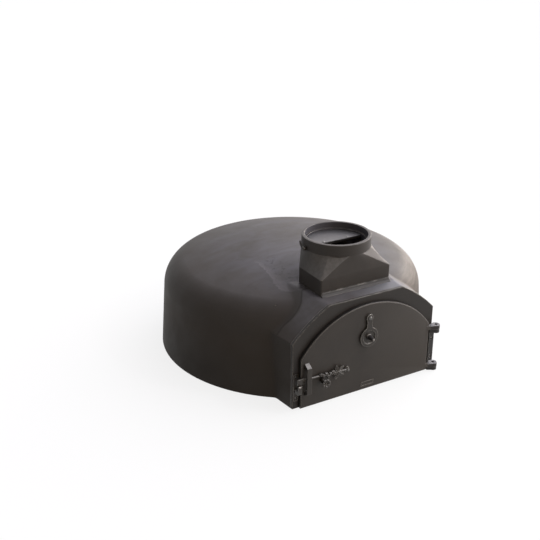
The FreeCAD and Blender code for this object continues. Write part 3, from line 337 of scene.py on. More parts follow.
def ease(name, width, finish, body, slot="cast_iron_paint", **options):
    """Puts a copy with rounded edges in the place of a CAD node."""
    stand_in(smooth_copy(name, width, **options), finish, body, slot, name)


fireclay = pressed_fireclay(
    "fireclay_tile", clay=(0.56, 0.40, 0.24), pale=(0.70, 0.58, 0.42), spot=(0.16, 0.08, 0.045)
)
for name in ("hearth_tiles", "mouth_tile", "landing_slab"):
    ease(name, TILE_ARRIS, fireclay, "oven", "firebrick", segments=3)


def pressed_fibre(name, colour, shade, stretch, depth):
    """Felted mineral fibre: pale, dull, with fine crossing strands."""
    finish, tree, shader = new_finish(name)
    along = noise(object_place(tree, stretch), 180.0, 4.0, 0.7, 0.6)
    across = noise(object_place(tree, stretch[::-1]), 150.0, 4.0, 0.7, 0.6)
    cloud = noise(object_place(tree), 10.0, 4.0)
    strands = calc("MAXIMUM", along, across)
    body = mixed(ranged(strands, 0.4, 0.75), shade, colour)
    body = mixed(ranged(cloud, 0.4, 0.75, 0.0, 0.35), body, shade)
    feed(shader, {"Base Color": body, "Roughness": 0.95, "Specular IOR Level": 0.2})
    raise_surface(shader, strands, depth)
    return finish


board_fibre = pressed_fibre(
    "silicate_board", colour=(0.72, 0.70, 0.65), shade=(0.50, 0.48, 0.44),
    stretch=(1.0, 5.0, 1.0), depth=0.0004,
)
dress(board_fibre, "floor_board")

# Vault and vestibule: refractory concrete cast in two half domes and an arch, set on the tiles.
# The skin is smooth from the mould, with grog showing through, air holes, and soot along the smoke's path.
SMOKE_RISE = (0.10, 0.30)
SMOKE_DRAW = (-0.02, -0.34)


def cast_refractory(name, paste, grog_colour, soot_colour):
    """Refractory concrete with grog and air holes, and soot where the smoke runs to the flue."""
    finish, tree, shader = new_finish(name)
    place = object_place(tree)
    grog = node(tree, "ShaderNodeTexVoronoi", {"Vector": place, "Scale": 150.0, "Randomness": 1.0})
    holes = get(tree, "ShaderNodeTexVoronoi", {"Vector": place, "Scale": 70.0}, key="Distance")
    cloud = noise(place, 7.0, 6.0, 0.6, 0.5)
    body = mixed(ranged(cloud, 0.3, 0.7), paste, [c * 0.80 for c in paste])
    chip = ranged(axes_of(grog.outputs["Color"])["X"], 0.55, 0.6)
    shown = times(ranged(grog.outputs["Distance"], 0.42, 0.22), chip)
    body = mixed(times(shown, 0.7), body, grog_colour)
    pit = ranged(holes, 0.10, 0.05)
    body = mixed(times(pit, 0.6), body, [c * 0.35 for c in paste])
    spot = axes_of(place)
    drawn = times(ranged(spot["Z"], *SMOKE_RISE), ranged(spot["Y"], *SMOKE_DRAW))
    smoke = times(drawn, ranged(cloud, 0.25, 0.65))
    body = mixed(smoke, body, soot_colour)
    feed(shader, {
        "Base Color": body,
        "Roughness": ranged(cloud, 0.3, 0.7, 0.78, 0.93),
        "Specular IOR Level": 0.3,
    })
    raise_surface(shader, calc("SUBTRACT", cloud, pit), 0.0012)
    return finish


refractory = cast_refractory(
    "cast_refractory", paste=(0.47, 0.41, 0.33), grog_colour=(0.62, 0.50, 0.36),
    soot_colour=(0.018, 0.016, 0.015),
)
dress(refractory, "vault_left", "vault_right", "vestibule_arch")

# Insulation blanket: layers of ceramic fibre wrapped over the vault, hidden under the casing.
# It is white needled felt with fine crossing strands, held in place by the casing alone.
blanket_fibre = pressed_fibre(
    "fibre_blanket", colour=(0.84, 0.83, 0.80), shade=(0.66, 0.64, 0.60),
    stretch=(1.0, 3.0, 6.0), depth=0.0012,
)
dress(blanket_fibre, "insulation_blanket")

# Outer casing: a pressed steel dome with a throat welded on, sprayed with heat-proof satin paint.
# Dust lies on the crown in faint clouds, and a dry run of it curves down beside the hood.
# Painted shade darkens it along the weld, on the knee and left foot, and with dirt in the hollows.
# The right shoulder is brushed pale with a painted highlight, and the throat's shelf has a painted highlight.
LYING_DUST = (0.130, 0.127, 0.140)


def stove_paint(name, paint, under, grain, depth, edge, gloss, sheen, bare, cover=0.5):
    """Heat-proof paint over metal: satin, a little uneven, rubbed through along its edges."""
    finish, tree, shader = new_finish(name)
    skin = use(tree, cast_skin, {"Grain Scale": grain, "Swell Scale": 30.0})
    edges = use(tree, worn_edges, {"Width": edge, "Patch Scale": 45.0, "Cover": cover})
    wear = edges["Wear"]
    dust = use(tree, settled_dust, {"Patch Scale": 12.0})["Dust"]
    tone = ranged(skin["Tone"], 0.32, 0.70)
    body = mixed(tone, [c * 0.86 for c in paint], [c * 1.16 for c in paint])
    body = mixed(times(dust, 0.16), body, LYING_DUST)
    body = mixed(times(wear, 0.8), body, under)
    rough = ranged(skin["Tone"], 0.3, 0.7, gloss - 0.05, gloss + 0.07)
    rough = calc("ADD", rough, times(wear, -0.12))
    feed(shader, {"Base Color": body, "Metallic": times(wear, bare)})
    feed(shader, {"Roughness": rough, "Specular IOR Level": sheen})
    raise_surface(shader, skin["Height"], depth, edges["Eased Normal"])
    return finish, tree, shader, body


def drawn_line(along, places):
    """A smooth line through (along, across) places, read by the coordinate it runs along."""
    first, last = places[0][0], places[-1][0]
    least, most = min(p[1] for p in places), max(p[1] for p in places)
    line = node(tree_of(along), "ShaderNodeFloatCurve", {"Value": ranged(along, first, last)})
    curve = line.mapping.curves[0]
    for index, (reach, across) in enumerate(places):
        knot = ((reach - first) / (last - first), (across - least) / (most - least))
        if index < 2:
            curve.points[index].location = knot
        else:
            curve.points.new(*knot)
    line.mapping.update()
    return ranged(line.outputs[0], 0.0, 1.0, least, most)


casing_paint, tree, shader, body = stove_paint(
    "casing_paint", paint=(0.040, 0.0345, 0.030), under=(0.140, 0.116, 0.094),
    grain=260.0, depth=0.00010, edge=0.004, gloss=0.53, sheen=0.22, bare=0.2,
)
spot = axes_of(object_place(tree))
in_x, in_y, in_z = [partial(ranged, axis) for axis in spot]
level = axes_of(facing(tree))["Z"]
leaning = ranged(level, 0.30, 0.50)
# The weld runs up the throat's left side: (height, depth) places. Ahead of it the throat is paler.
WELD_LINE = (
    (0.190, -0.376), (0.233, -0.372), (0.250, -0.371), (0.267, -0.376),
    (0.282, -0.374), (0.297, -0.365), (0.314, -0.338), (0.324, -0.314),
)
THROAT_TOP_Z = (0.235, 0.285)
THROAT_FOOT_Z = (0.17, 0.235)
THROAT_PALE = (0.098, 0.094, 0.100)
ahead = calc("SUBTRACT", drawn_line(spot["Z"], WELD_LINE), spot["Y"])
grime = ranged(noise(object_place(tree), 24.0, 5.0, 0.65), 0.25, 0.65, 0.25, 0.65)
faded = times(leaning, in_z(*THROAT_TOP_Z, 0.05, 1.0))
faded = calc("MAXIMUM", faded, in_z(*THROAT_FOOT_Z, 0.0, 0.14))
body = mixed(times(faded, ranged(ahead, 0.0, 0.012), grime), body, THROAT_PALE)
# A painted highlight: the throat's level shelf is pale before the hood's right half.
SHELF_Y = (-0.388, -0.398)
SHELF_X = (-0.04, 0.10)
SHELF_HIGHLIGHT = (0.150, 0.156, 0.170)
shelf_highlight = times(ranged(level, 0.80, 0.95), in_y(*SHELF_Y), in_x(*SHELF_X, 0.0, 0.7))
body = mixed(shelf_highlight, body, SHELF_HIGHLIGHT)
# Dust lies over the whole crown, and more ash round the flue.
CROWN_Z = (0.30, 0.338)
CROWN_DUST = (0.094, 0.094, 0.120)
FLUE_MIDDLE = (0.0, -0.268, 0.0)
ASH_REACH = (0.34, 0.16)
ASH_FRONT_Y = (-0.392, -0.372)
FLUE_ASH = (0.120, 0.118, 0.134)
crown = in_z(*CROWN_Z)
clouds = noise(object_place(tree, (1.0, 2.6, 1.0)), 7.0, 5.0, 0.6, 0.6)
body = mixed(times(ranged(clouds, 0.40, 0.70), crown, 0.30), body, CROWN_DUST)
from_flue = vector_calc("DISTANCE", object_place(tree, (1.0, 1.0, 0.0)), FLUE_MIDDLE)
ash = times(ranged(from_flue, *ASH_REACH, 0.0, 0.46), crown)
ash = times(ash, in_y(*ASH_FRONT_Y), ranged(clouds, 0.25, 0.55, 0.4, 1.0))
body = mixed(ash, body, FLUE_ASH)
# The dry run: its sharp left edge goes through (depth, across) places, and it ends on a slant.
RUN_LINE = (
    (-0.275, -0.196), (-0.260, -0.199), (-0.235, -0.199), (-0.207, -0.195),
    (-0.176, -0.190), (-0.137, -0.185), (-0.098, -0.185), (-0.060, -0.192),
)
RUN_Y = (-0.10, -0.26)
RUN_BREADTH = (0.015, 0.044)
RUN_EDGE = (-0.002, 0.0015)
RUN_LIP = (0.008, 0.003)
RUN_HEAD_Y = (-0.06, -0.12)
RUN_TOE = (-0.480, -0.474)
RUN_SLANT = 1.07
SPECK_NEAR = (0.0, 0.008)
SPECK_FAR = (0.085, 0.040)
RUN_DUST = (0.160, 0.152, 0.160)
SPECK_DARK = (0.022, 0.020, 0.020)
wobble = ranged(noise(object_place(tree), 60.0, 4.0, 0.6), 0.3, 0.7, -0.005, 0.005)
aside = calc("SUBTRACT", calc("ADD", spot["X"], wobble), drawn_line(spot["Y"], RUN_LINE))
breadth = in_y(*RUN_Y, *RUN_BREADTH)
edge = ranged(aside, *RUN_EDGE)
band = times(edge, ranged(calc("DIVIDE", aside, breadth), 1.0, 0.45))
lip = times(edge, ranged(aside, *RUN_LIP))
toe = calc("ADD", calc("ADD", spot["Y"], times(spot["X"], RUN_SLANT)), wobble)
ends = times(ranged(toe, *RUN_TOE), in_y(*RUN_HEAD_Y))
streaks = ranged(noise(object_place(tree, (1.0, 0.35, 1.0)), 120.0, 4.0, 0.65), 0.36, 0.62, 0.5, 1.0)
run = calc("ADD", times(band, streaks, 0.36), times(lip, 0.10))
body = mixed(times(run, ends), body, RUN_DUST)
specks = ranged(noise(object_place(tree), 46.0, 6.0, 0.7), 0.54, 0.64)
beside = calc("SUBTRACT", aside, times(breadth, 0.7))
beside = times(ranged(beside, *SPECK_NEAR), ranged(beside, *SPECK_FAR))
body = mixed(times(specks, beside, ends, 0.7), body, SPECK_DARK)
# Painted shade darkens the dome towards the weld; a dark thread of painted crease shade follows it. One chip
# shows the primer.
WELD_TOP_Z = (0.330, 0.312)
WELD_SHADE_REACH = (-0.045, -0.004)
WELD_HALF_W = (0.0055, 0.0015)
WELD_PAINTED_SHADE = (0.022, 0.018, 0.015)
WELD_CREASE_SHADE = (0.012, 0.010, 0.008)
CHIP = (-0.246, -0.313, 0.292)
CHIP_STRETCH = (0.45, 1.0, 1.0)
CHIP_EDGE = (0.0042, 0.0030)
CHIP_CORE = (0.0022, 0.0016)
CHIP_DARK = (0.014, 0.012, 0.010)
CHIP_PRIMER = (0.150, 0.120, 0.100)
dome_shade = times(leaning, ranged(ahead, *WELD_SHADE_REACH), ranged(ahead, 0.004, 0.0))
dome_shade = times(dome_shade, in_z(*WELD_TOP_Z), 0.45)
body = mixed(dome_shade, body, WELD_PAINTED_SHADE)
off = vector_calc("SUBTRACT", object_place(tree), CHIP)
off = vector_calc("LENGTH", vector_calc("MULTIPLY", off, CHIP_STRETCH))
body = mixed(times(ranged(off, *CHIP_EDGE), 0.8), body, CHIP_DARK)
body = mixed(times(ranged(off, *CHIP_CORE), 0.7), body, CHIP_PRIMER)
# A thin dark line of painted crease shade along the weld.
crease_shade = times(leaning, ranged(calc("ABSOLUTE", ahead), *WELD_HALF_W), 0.70)
body = mixed(crease_shade, body, WELD_CREASE_SHADE)
# Below the crown: painted shade on the knee, a paler side, painted shade on the left skirt,
# dirt and painted shade in the hollows, and a brushed shoulder with a painted highlight.
KNEE_FOOT_Z, KNEE_TOP_Z, KNEE_X = (0.225, 0.270), (0.318, 0.296), (0.15, 0.0)
KNEE_SHADE = (0.020, 0.015, 0.012)
SIDE_Z = (0.27, 0.19)
SIDE_PALE = (0.066, 0.057, 0.049)
SKIRT_Z, SKIRT_X = (0.17, 0.05), (-0.26, -0.44)
SKIRT_SHADE = (0.014, 0.012, 0.010)
HOLLOW_REACH = 0.030
HOLLOW_TOP_Z = (0.335, 0.325)
HOLLOW_DIRT_AND_SHADE = (0.016, 0.013, 0.011)
SHOULDER_TOP_Z, SHOULDER_FOOT_Z, SHOULDER_X = (0.316, 0.290), (0.14, 0.25), (0.14, 0.27)
BRUSHED_AND_HIGHLIT = (0.172, 0.150, 0.128)
DULL_Z = (0.31, 0.19)
# Painted shade: a dark band on the dome's knee, behind the weld.
knee = times(in_z(*KNEE_FOOT_Z), in_z(*KNEE_TOP_Z), in_x(*KNEE_X), ranged(ahead, 0.0, -0.01), 0.45)
body = mixed(knee, body, KNEE_SHADE)
body = mixed(in_z(*SIDE_Z, 0.0, 0.38), body, SIDE_PALE)
# Painted shade darkens the casing's low left side.
skirt = times(in_z(*SKIRT_Z), in_x(*SKIRT_X, 0.0, 0.6))
body = mixed(skirt, body, SKIRT_SHADE)
# Dirt and painted shade darken the hollows, found by how open the surface is.
hollow = ranged(openness(tree, HOLLOW_REACH), 0.86, 0.62)
body = mixed(times(hollow, in_z(*HOLLOW_TOP_Z), 0.65), body, HOLLOW_DIRT_AND_SHADE)
# The right shoulder is brushed pale in streaks, with a painted highlight over them.
brushed = noise(object_place(tree, (1.0, 1.0, 11.0)), 11.0, 6.0, 0.62, 0.2)
brushed = ranged(brushed, 0.34, 0.68, 0.28, 0.74)
shoulder = times(in_z(*SHOULDER_TOP_Z), in_z(*SHOULDER_FOOT_Z), in_x(*SHOULDER_X))
body = mixed(times(brushed, shoulder), body, BRUSHED_AND_HIGHLIT)
rough = shader.inputs["Roughness"].links[0].from_socket
dull = in_z(*DULL_Z, 0.0, 0.14)
feed(shader, {"Roughness": calc("ADD", rough, dull), "Base Color": body})
dress(casing_paint, "outer_casing")

# Front frame: arched cast-iron surround, machined flat where the door closes and screwed to the throat.
# It is painted like the casing, and its outer arris is rubbed bright.
FRAME_ARRIS = 0.0008
cast_paint = stove_paint(
    "cast_iron_paint", paint=(0.027, 0.024, 0.0215), under=(0.340, 0.315, 0.280),
    grain=620.0, depth=0.00022, edge=0.0026, gloss=0.48, sheen=0.28, bare=0.6, cover=0.66,
)[0]
ease("front_frame", FRAME_ARRIS, cast_paint, "oven")

# Flue hood: one iron casting that goes from a rectangular skirt to a round collar with a pipe socket.
# It is welded to the throat, and a hollow fillet of fire cement, painted over, dresses its front foot.
FACET_DUST = (0.122, 0.116, 0.110)
FLUE_INSIDE_PALE = (0.090, 0.090, 0.108)
hood_paint, tree, shader, body = stove_paint(
    "hood_paint", paint=(0.042, 0.037, 0.033), under=(0.300, 0.275, 0.240),
    grain=620.0, depth=0.00018, edge=0.0030, gloss=0.46, sheen=0.24, bare=0.5,
)
place = object_place(tree)
level = axes_of(facing(tree))["Z"]
sloping = times(ranged(level, 0.28, 0.42), ranged(level, 0.92, 0.80))
grime = ranged(noise(place, 70.0, 5.0, 0.65), 0.25, 0.6, 0.35, 0.75)
grime = times(grime, ranged(axes_of(place)["X"], -0.02, 0.05, 1.0, 0.15))
body = mixed(times(sloping, grime), body, FACET_DUST)
# The collar's inside faces are paler and bluish.
out_from_flue = vector_calc("SUBTRACT", place, FLUE_MIDDLE)
flue_normal = vector_calc("MULTIPLY", facing(tree), (1.0, 1.0, 0.0))
inward = vector_calc("DOT_PRODUCT", out_from_flue, flue_normal)
body = mixed(times(ranged(inward, -0.02, -0.06), 0.7), body, FLUE_INSIDE_PALE)
feed(shader, {"Base Color": body})
dress(hood_paint, "flue_hood")
seam_paint = stove_paint(
    "painted_cement", paint=(0.038, 0.035, 0.033), under=(0.190, 0.180, 0.160),
    grain=340.0, depth=0.00030, edge=0.003, gloss=0.43, sheen=0.22, bare=0.3,
)[0]
dress(seam_paint, "hood_seam")

# Damper: a half-moon steel flap on a cross shaft in the collar, held by two slotted screws.
# A curled cast finger on the shaft's end, outside the collar, turns it.
SHAFT_Y, SHAFT_Z = -0.268, 0.440
FLAP_TOP_Z = 0.448
FLAP_SCREW_X = 0.045


def turned_steel(name, colour, bright, rough):
    """Blackened steel, brighter where hands and tools have rubbed it."""
    finish, tree, shader = new_finish(name)
    skin = use(tree, cast_skin, {"Grain Scale": 900.0, "Swell Scale": 90.0})
    wear = use(tree, worn_edges, {"Width": 0.0016, "Patch Scale": 160.0})
    body = mixed(ranged(skin["Tone"], 0.35, 0.7), colour, [c * 1.5 for c in colour])
    body = mixed(wear["Wear"], body, bright)
    gloss = ranged(skin["Tone"], 0.3, 0.7, rough - 0.06, rough + 0.08)
    feed(shader, {"Base Color": body, "Roughness": gloss, "Metallic": 0.9})
    raise_surface(shader, skin["Height"], 0.00008, wear["Eased Normal"])
    return finish


def new_grower(name, sizes):
    """Starts a geometry tree that works on points, with named sizes and a finish."""
    tree = bpy.data.node_groups.new(name, "GeometryNodeTree")
    add_socket(tree, "Places", "Geometry")
    for key, value in sizes.items():
        add_socket(tree, key).default_value = value
    add_socket(tree, "Finish", "Material")
    add_socket(tree, "Geometry", "Geometry", "OUTPUT")
    return tree, tree.nodes.new("NodeGroupInput").outputs, tree.nodes.new("NodeGroupOutput").inputs


def triple(tree, x, y, z):
    """Three numbers as one vector."""
    return get(tree, "ShaderNodeCombineXYZ", {0: x, 1: y, 2: z})


def set_down(tree, places, shape, lean, turn, given, gives):
    """Sets a shape on every point, turned in its own plane and then leaned, and ends the tree."""
    leaned = get(tree, "FunctionNodeEulerToRotation", {0: triple(tree, lean, 0.0, 0.0)})
    turned = get(tree, "FunctionNodeEulerToRotation", {0: triple(tree, 0.0, 0.0, turn)})
    inputs = {"Rotation": leaned, "Rotate By": turned}
    way = get(tree, "FunctionNodeRotateRotation", inputs, rotation_space="LOCAL")
    inputs = {"Points": places, "Instance": shape, "Rotation": way}
    placed = get(tree, "GeometryNodeInstanceOnPoints", inputs)
    real = get(tree, "GeometryNodeRealizeInstances", {0: placed})
    done = get(tree, "GeometryNodeSetMaterial", {"Geometry": real, "Material": given["Finish"]})
    tree.links.new(done, gives["Geometry"])


def grow(name, tree, places, finish, sizes):
    """Runs a geometry tree on points and keeps the result as a plain mesh."""
    mesh = bpy.data.meshes.new(name)
    mesh.from_pydata(places, [], [])
    piece = put(name, mesh)
    grower = piece.modifiers.new("grower", "NODES")
    grower.node_group = tree
    for socket in tree.interface.items_tree:
        if socket.in_out == "INPUT" and socket.name in sizes:
            grower[socket.identifier] = sizes[socket.name]
        if socket.in_out == "INPUT" and socket.name == "Finish":
            grower[socket.identifier] = finish
    settle(piece)
    soften(piece.data)
    return piece


UPRIGHT = 0.0
FACING_FRONT = math.pi / 2
screw_sizes = {
    "Head Radius": 0.006, "Head Height": 0.003, "Slot Width": 0.0016, "Slot Depth": 0.0012,
    "Shank Radius": 0.003, "Shank Length": 0.012, "Lean": FACING_FRONT,
}
screw_tree, given, gives = new_grower("slotted_screws", screw_sizes)
inputs = {"Segments": 28, "Rings": 16, "Radius": 1.0}
ball = get(screw_tree, "GeometryNodeMeshUVSphere", inputs, key="Mesh")
head_size = triple(screw_tree, given["Head Radius"], given["Head Radius"], given["Head Height"])
head = get(screw_tree, "GeometryNodeTransform", {"Geometry": ball, "Scale": head_size})
slot_length = times(given["Head Radius"], 3.0)
slot_height = times(given["Slot Depth"], 2.0)
slot_size = triple(screw_tree, slot_length, given["Slot Width"], slot_height)
cutter = get(screw_tree, "GeometryNodeMeshCube", {"Size": slot_size}, key="Mesh")
lifted = triple(screw_tree, 0.0, 0.0, given["Head Height"])
cutter = get(screw_tree, "GeometryNodeTransform", {"Geometry": cutter, "Translation": lifted})
inputs = {"Mesh 1": head, "Mesh 2": cutter}
slotted = get(screw_tree, "GeometryNodeMeshBoolean", inputs, operation="DIFFERENCE", key="Mesh")
inputs = {"Vertices": 20, "Radius": given["Shank Radius"], "Depth": given["Shank Length"]}
shank = get(screw_tree, "GeometryNodeMeshCylinder", inputs, key="Mesh")
sunk = triple(screw_tree, 0.0, 0.0, times(given["Shank Length"], -0.5))
shank = get(screw_tree, "GeometryNodeTransform", {"Geometry": shank, "Translation": sunk})
whole = node(screw_tree, "GeometryNodeJoinGeometry", {0: slotted})
screw_tree.links.new(shank, whole.inputs[0])
inputs = {2: 0.0, 3: math.pi, "Seed": 5}
slot_turn = get(screw_tree, "FunctionNodeRandomValue", inputs, data_type="FLOAT", key=1)
set_down(screw_tree, given["Places"], whole.outputs[0], given["Lean"], slot_turn, given, gives)


def screws(name, places, finish, body, **sizes):
    """Slotted screws that stand for the CAD screws of the same name."""
    piece = grow(name + "_slotted", screw_tree, places, finish, screw_sizes | sizes)
    stand_in(piece, finish, body, "bare_steel", name)


dark_steel = turned_steel(
    "blackened_steel", colour=(0.13, 0.125, 0.12), bright=(0.50, 0.48, 0.45), rough=0.40
)
flap_steel = rolled_steel(
    "damper_sheet", scale_colour=(0.072, 0.070, 0.070), bright_colour=(0.34, 0.33, 0.32),
    grain_axis=(1.0, 9.0, 1.0),
)
dress(flap_steel, "damper_flap")
dress(cast_paint, "damper_shaft")
flap_head = {"Head Radius": 0.005, "Head Height": 0.0025, "Shank Radius": 0.0025, "Shank Length": 0.008}
flap_screws = [(side * FLAP_SCREW_X, SHAFT_Y, FLAP_TOP_Z) for side in (-1, 1)]
screws("damper_screws", flap_screws, dark_steel, "damper", **flap_head, Lean=UPRIGHT)


def skin_loops(name, loops):
    """A closed mesh through a run of loops of equal count, filled at both ends."""
    count = len(loops[0])
    verts = [tuple(point) for loop in loops for point in loop]
    faces = [list(range(count)), [len(verts) - 1 - i for i in range(count)]]
    for ring in range(len(loops) - 1):
        for i in range(count):
            a, b = ring * count + i, ring * count + (i + 1) % count
            faces.append([a, b, b + count, a + count])
    shape = bmesh.new()
    points = [shape.verts.new(v) for v in verts]
    for face in faces:
        shape.faces.new([points[i] for i in face])
    bmesh.ops.recalc_face_normals(shape, faces=shape.faces)
    mesh = bpy.data.meshes.new(name)
    shape.to_mesh(mesh)
    shape.free()
    soften(mesh)
    return mesh


def one_piece(name, meshes):
    """One object from several closed meshes."""
    shape = bmesh.new()
    for mesh in meshes:
        shape.from_mesh(mesh)
    whole = bpy.data.meshes.new(name)
    shape.to_mesh(whole)
    shape.free()
    return put(name, whole)


CIRCLE = [2 * math.pi * k / 32 for k in range(32)]
HOOK_X = -0.1174
HOOK_HALF_THICK = 0.0027
HOOK_THIN_FROM = 0.0024
HOOK_LINE = (
    (SHAFT_Y, SHAFT_Z, 0.0052), (-0.2620, 0.4398, 0.0048), (-0.2560, 0.4412, 0.0042),
    (-0.2505, 0.4446, 0.0037), (-0.2465, 0.4492, 0.0033), (-0.2445, 0.4540, 0.0030),
    (-0.2438, 0.4575, 0.0024), (-0.2437, 0.4592, 0.0010),
)
HUB_STEPS = ((-0.1146, 0.0058), (-0.1150, 0.0068), (-0.1194, 0.0068), (-0.1202, 0.0058))
hook_loops = []
for index, (y, z, half_width) in enumerate(HOOK_LINE):
    before, after = HOOK_LINE[max(index - 1, 0)], HOOK_LINE[min(index + 1, len(HOOK_LINE) - 1)]
    along = Vector((0.0, after[0] - before[0], after[1] - before[1])).normalized()
    side = Vector((0.0, -along.z, along.y))
    thick = Vector((HOOK_HALF_THICK * min(1.0, half_width / HOOK_THIN_FROM), 0.0, 0.0))
    middle = Vector((HOOK_X, y, z))
    hook_loops.append([middle + half_width * math.cos(t) * side + math.sin(t) * thick for t in CIRCLE])
hub_loops = []
for x, r in HUB_STEPS:
    hub_loops.append([(x, SHAFT_Y + r * math.cos(t), SHAFT_Z + r * math.sin(t)) for t in CIRCLE])
hook = one_piece("damper_hook", [skin_loops("damper_hook", hook_loops), skin_loops("damper_hub", hub_loops)])
stand_in(hook, cast_paint, "damper", "cast_iron_paint", "damper_lever")

# Hinge: a cast bracket held to the frame by two slotted screws, with two steel pins standing in its lugs.
# The door's own lugs drop over the pins. The small castings are rubbed with graphite black,
# and their tops are bright from use, with a painted highlight where the light falls on them.
BRIGHT_IRON = (0.40, 0.37, 0.33)
RUBBED_HIGHLIGHT_GREY = (0.23, 0.225, 0.22)
LIT_TOUCHED_SIDE = (0.0, -0.55, 0.83)
BRACKET_ARRIS = 0.0010


def graphite(name, paint=(0.040, 0.036, 0.032), edge=0.0016, cover=0.58):
    """Graphite black over a small casting, rubbed paler with a painted highlight on the tops that hands touch
    and light falls on.
    """
    finish, tree, shader, body = stove_paint(
        name, paint, BRIGHT_IRON,
        grain=800.0, depth=0.00012, edge=edge, gloss=0.34, sheen=0.30, bare=0.8, cover=cover,
    )
    lifted = vector_calc("DOT_PRODUCT", facing(tree), LIT_TOUCHED_SIDE)
    touched = ranged(noise(object_place(tree), 240.0, 3.0, 0.6), 0.28, 0.5, 0.35, 1.0)
    # Rubbed wear with a painted highlight on the tops that face up and to the front.
    rubbed = times(ranged(lifted, 0.60, 0.95), touched)
    body = mixed(times(rubbed, 0.68), body, RUBBED_HIGHLIGHT_GREY)
    worn = shader.inputs["Metallic"].links[0].from_socket
    feed(shader, {"Metallic": calc("MAXIMUM", worn, times(rubbed, 0.25)), "Base Color": body})
    return finish, tree, shader, body


graphite_black = graphite("graphite_black")[0]
hinge_black = graphite("hinge_black", (0.026, 0.025, 0.025))[0]
ease("hinge_bracket", BRACKET_ARRIS, hinge_black, "oven")
oiled_steel = turned_steel("oiled_pin", colour=(0.020, 0.019, 0.018), bright=(0.12, 0.115, 0.11), rough=0.45)
dress(oiled_steel, "hinge_pins")
painted_screw = turned_steel(
    "painted_screw", colour=(0.055, 0.051, 0.047), bright=(0.42, 0.40, 0.37), rough=0.42
)
hinge_screws = [(0.2565, -0.4634, z) for z in (0.0532, 0.1198)]
screws("hinge_screws", hinge_screws, painted_screw, "oven", **{"Shank Length": 0.0184})

# Latch keeper: a cast strip with a hooked nose that catches the latch bar.
# Two slotted screws hold it to the frame's left edge.
CASTING_ARRIS = 0.0012
NOSE_X = -0.2570
NOSE_HALF_W = (0.0042, 0.0024)
NOSE_TIP_Z = (0.0855, 0.0885)
NOSE_FRONT_Y = (-0.474, -0.477)
NOSE_BRIGHT = (0.42, 0.40, 0.38)
keeper_black, tree, shader, body = graphite("keeper_black")
spot = axes_of(object_place(tree))
from_nose = calc("ABSOLUTE", calc("SUBTRACT", spot["X"], NOSE_X))
tip = times(ranged(spot["Z"], *NOSE_TIP_Z), ranged(spot["Y"], *NOSE_FRONT_Y), ranged(from_nose, *NOSE_HALF_W))
feed(shader, {"Base Color": mixed(tip, body, NOSE_BRIGHT)})
ease("latch_keeper", CASTING_ARRIS, keeper_black, "oven")
keeper_screws = [(-0.2565, -0.4524, z) for z in (0.037, 0.111)]
screws("keeper_screws", keeper_screws, painted_screw, "oven", **{"Shank Length": 0.0074})

# Door: one arched iron casting with two hinge lugs and a rim that shuts against the frame.
# A small bare cast plate sits low on its face, and two fittings are riveted and screwed to it.
DOOR_FACE_Y = -0.466
DOOR_ARRIS = 0.0009
PALE_X, PALE_END_X = (-0.02, 0.24), (0.250, 0.243)
DOOR_PAINTED_LIGHT = (0.082, 0.076, 0.070)
DARK_X = (-0.08, -0.25)
DOOR_PAINTED_SHADE = (0.022, 0.019, 0.016)
LUG_X = (0.243, 0.250)
LUG_DARK = (0.019, 0.018, 0.019)
LUG_TOP_HIGHLIGHT = (0.165, 0.165, 0.178)
RIM_END_X = (0.240, 0.232)
RIM_PAINTED_SHADOW = (0.006, 0.005, 0.004)
door_paint, tree, shader, body = stove_paint(
    "door_paint", paint=(0.040, 0.0355, 0.0315), under=(0.360, 0.335, 0.300),
    grain=620.0, depth=0.00022, edge=0.0030, gloss=0.48, sheen=0.28, bare=0.6, cover=0.72,
)
spot = axes_of(object_place(tree))
faces = axes_of(facing(tree))
# Painted light makes the door paler towards the right, and painted shade darkens it towards the left.
pale = times(ranged(spot["X"], *PALE_X, 0.0, 0.86), ranged(spot["X"], *PALE_END_X, 0.2, 1.0))
body = mixed(pale, body, DOOR_PAINTED_LIGHT)
body = mixed(ranged(spot["X"], *DARK_X, 0.0, 0.2), body, DOOR_PAINTED_SHADE)
# The lugs are darker, and their tops carry a painted highlight.
lugs = ranged(spot["X"], *LUG_X)
body = mixed(times(lugs, 0.6), body, LUG_DARK)
body = mixed(times(lugs, ranged(faces["Z"], 0.5, 0.8, 0.0, 0.6)), body, LUG_TOP_HIGHLIGHT)
# Painted shadow: the door's side faces, away from the hinge, are near black.
edgewise = ranged(calc("ABSOLUTE", faces["Y"]), 0.40, 0.15)
rim_shadow = times(edgewise, ranged(spot["X"], *RIM_END_X), 0.92)
feed(shader, {"Base Color": mixed(rim_shadow, body, RIM_PAINTED_SHADOW)})
ease("door_panel", DOOR_ARRIS, door_paint, "door")


def rounded_loop(middle, half, radius, y):
    """A rounded rectangle that faces the front, by its middle and its half sizes across and up."""
    loop = []
    for right, up, start in ((1, -1, -90), (1, 1, 0), (-1, 1, 90), (-1, -1, 180)):
        for step in range(5):
            turn = math.radians(start + 22.5 * step)
            x = middle[0] + right * (half[0] - radius) + radius * math.cos(turn)
            z = middle[1] + up * (half[1] - radius) + radius * math.sin(turn)
            loop.append((x, y, z))
    return loop


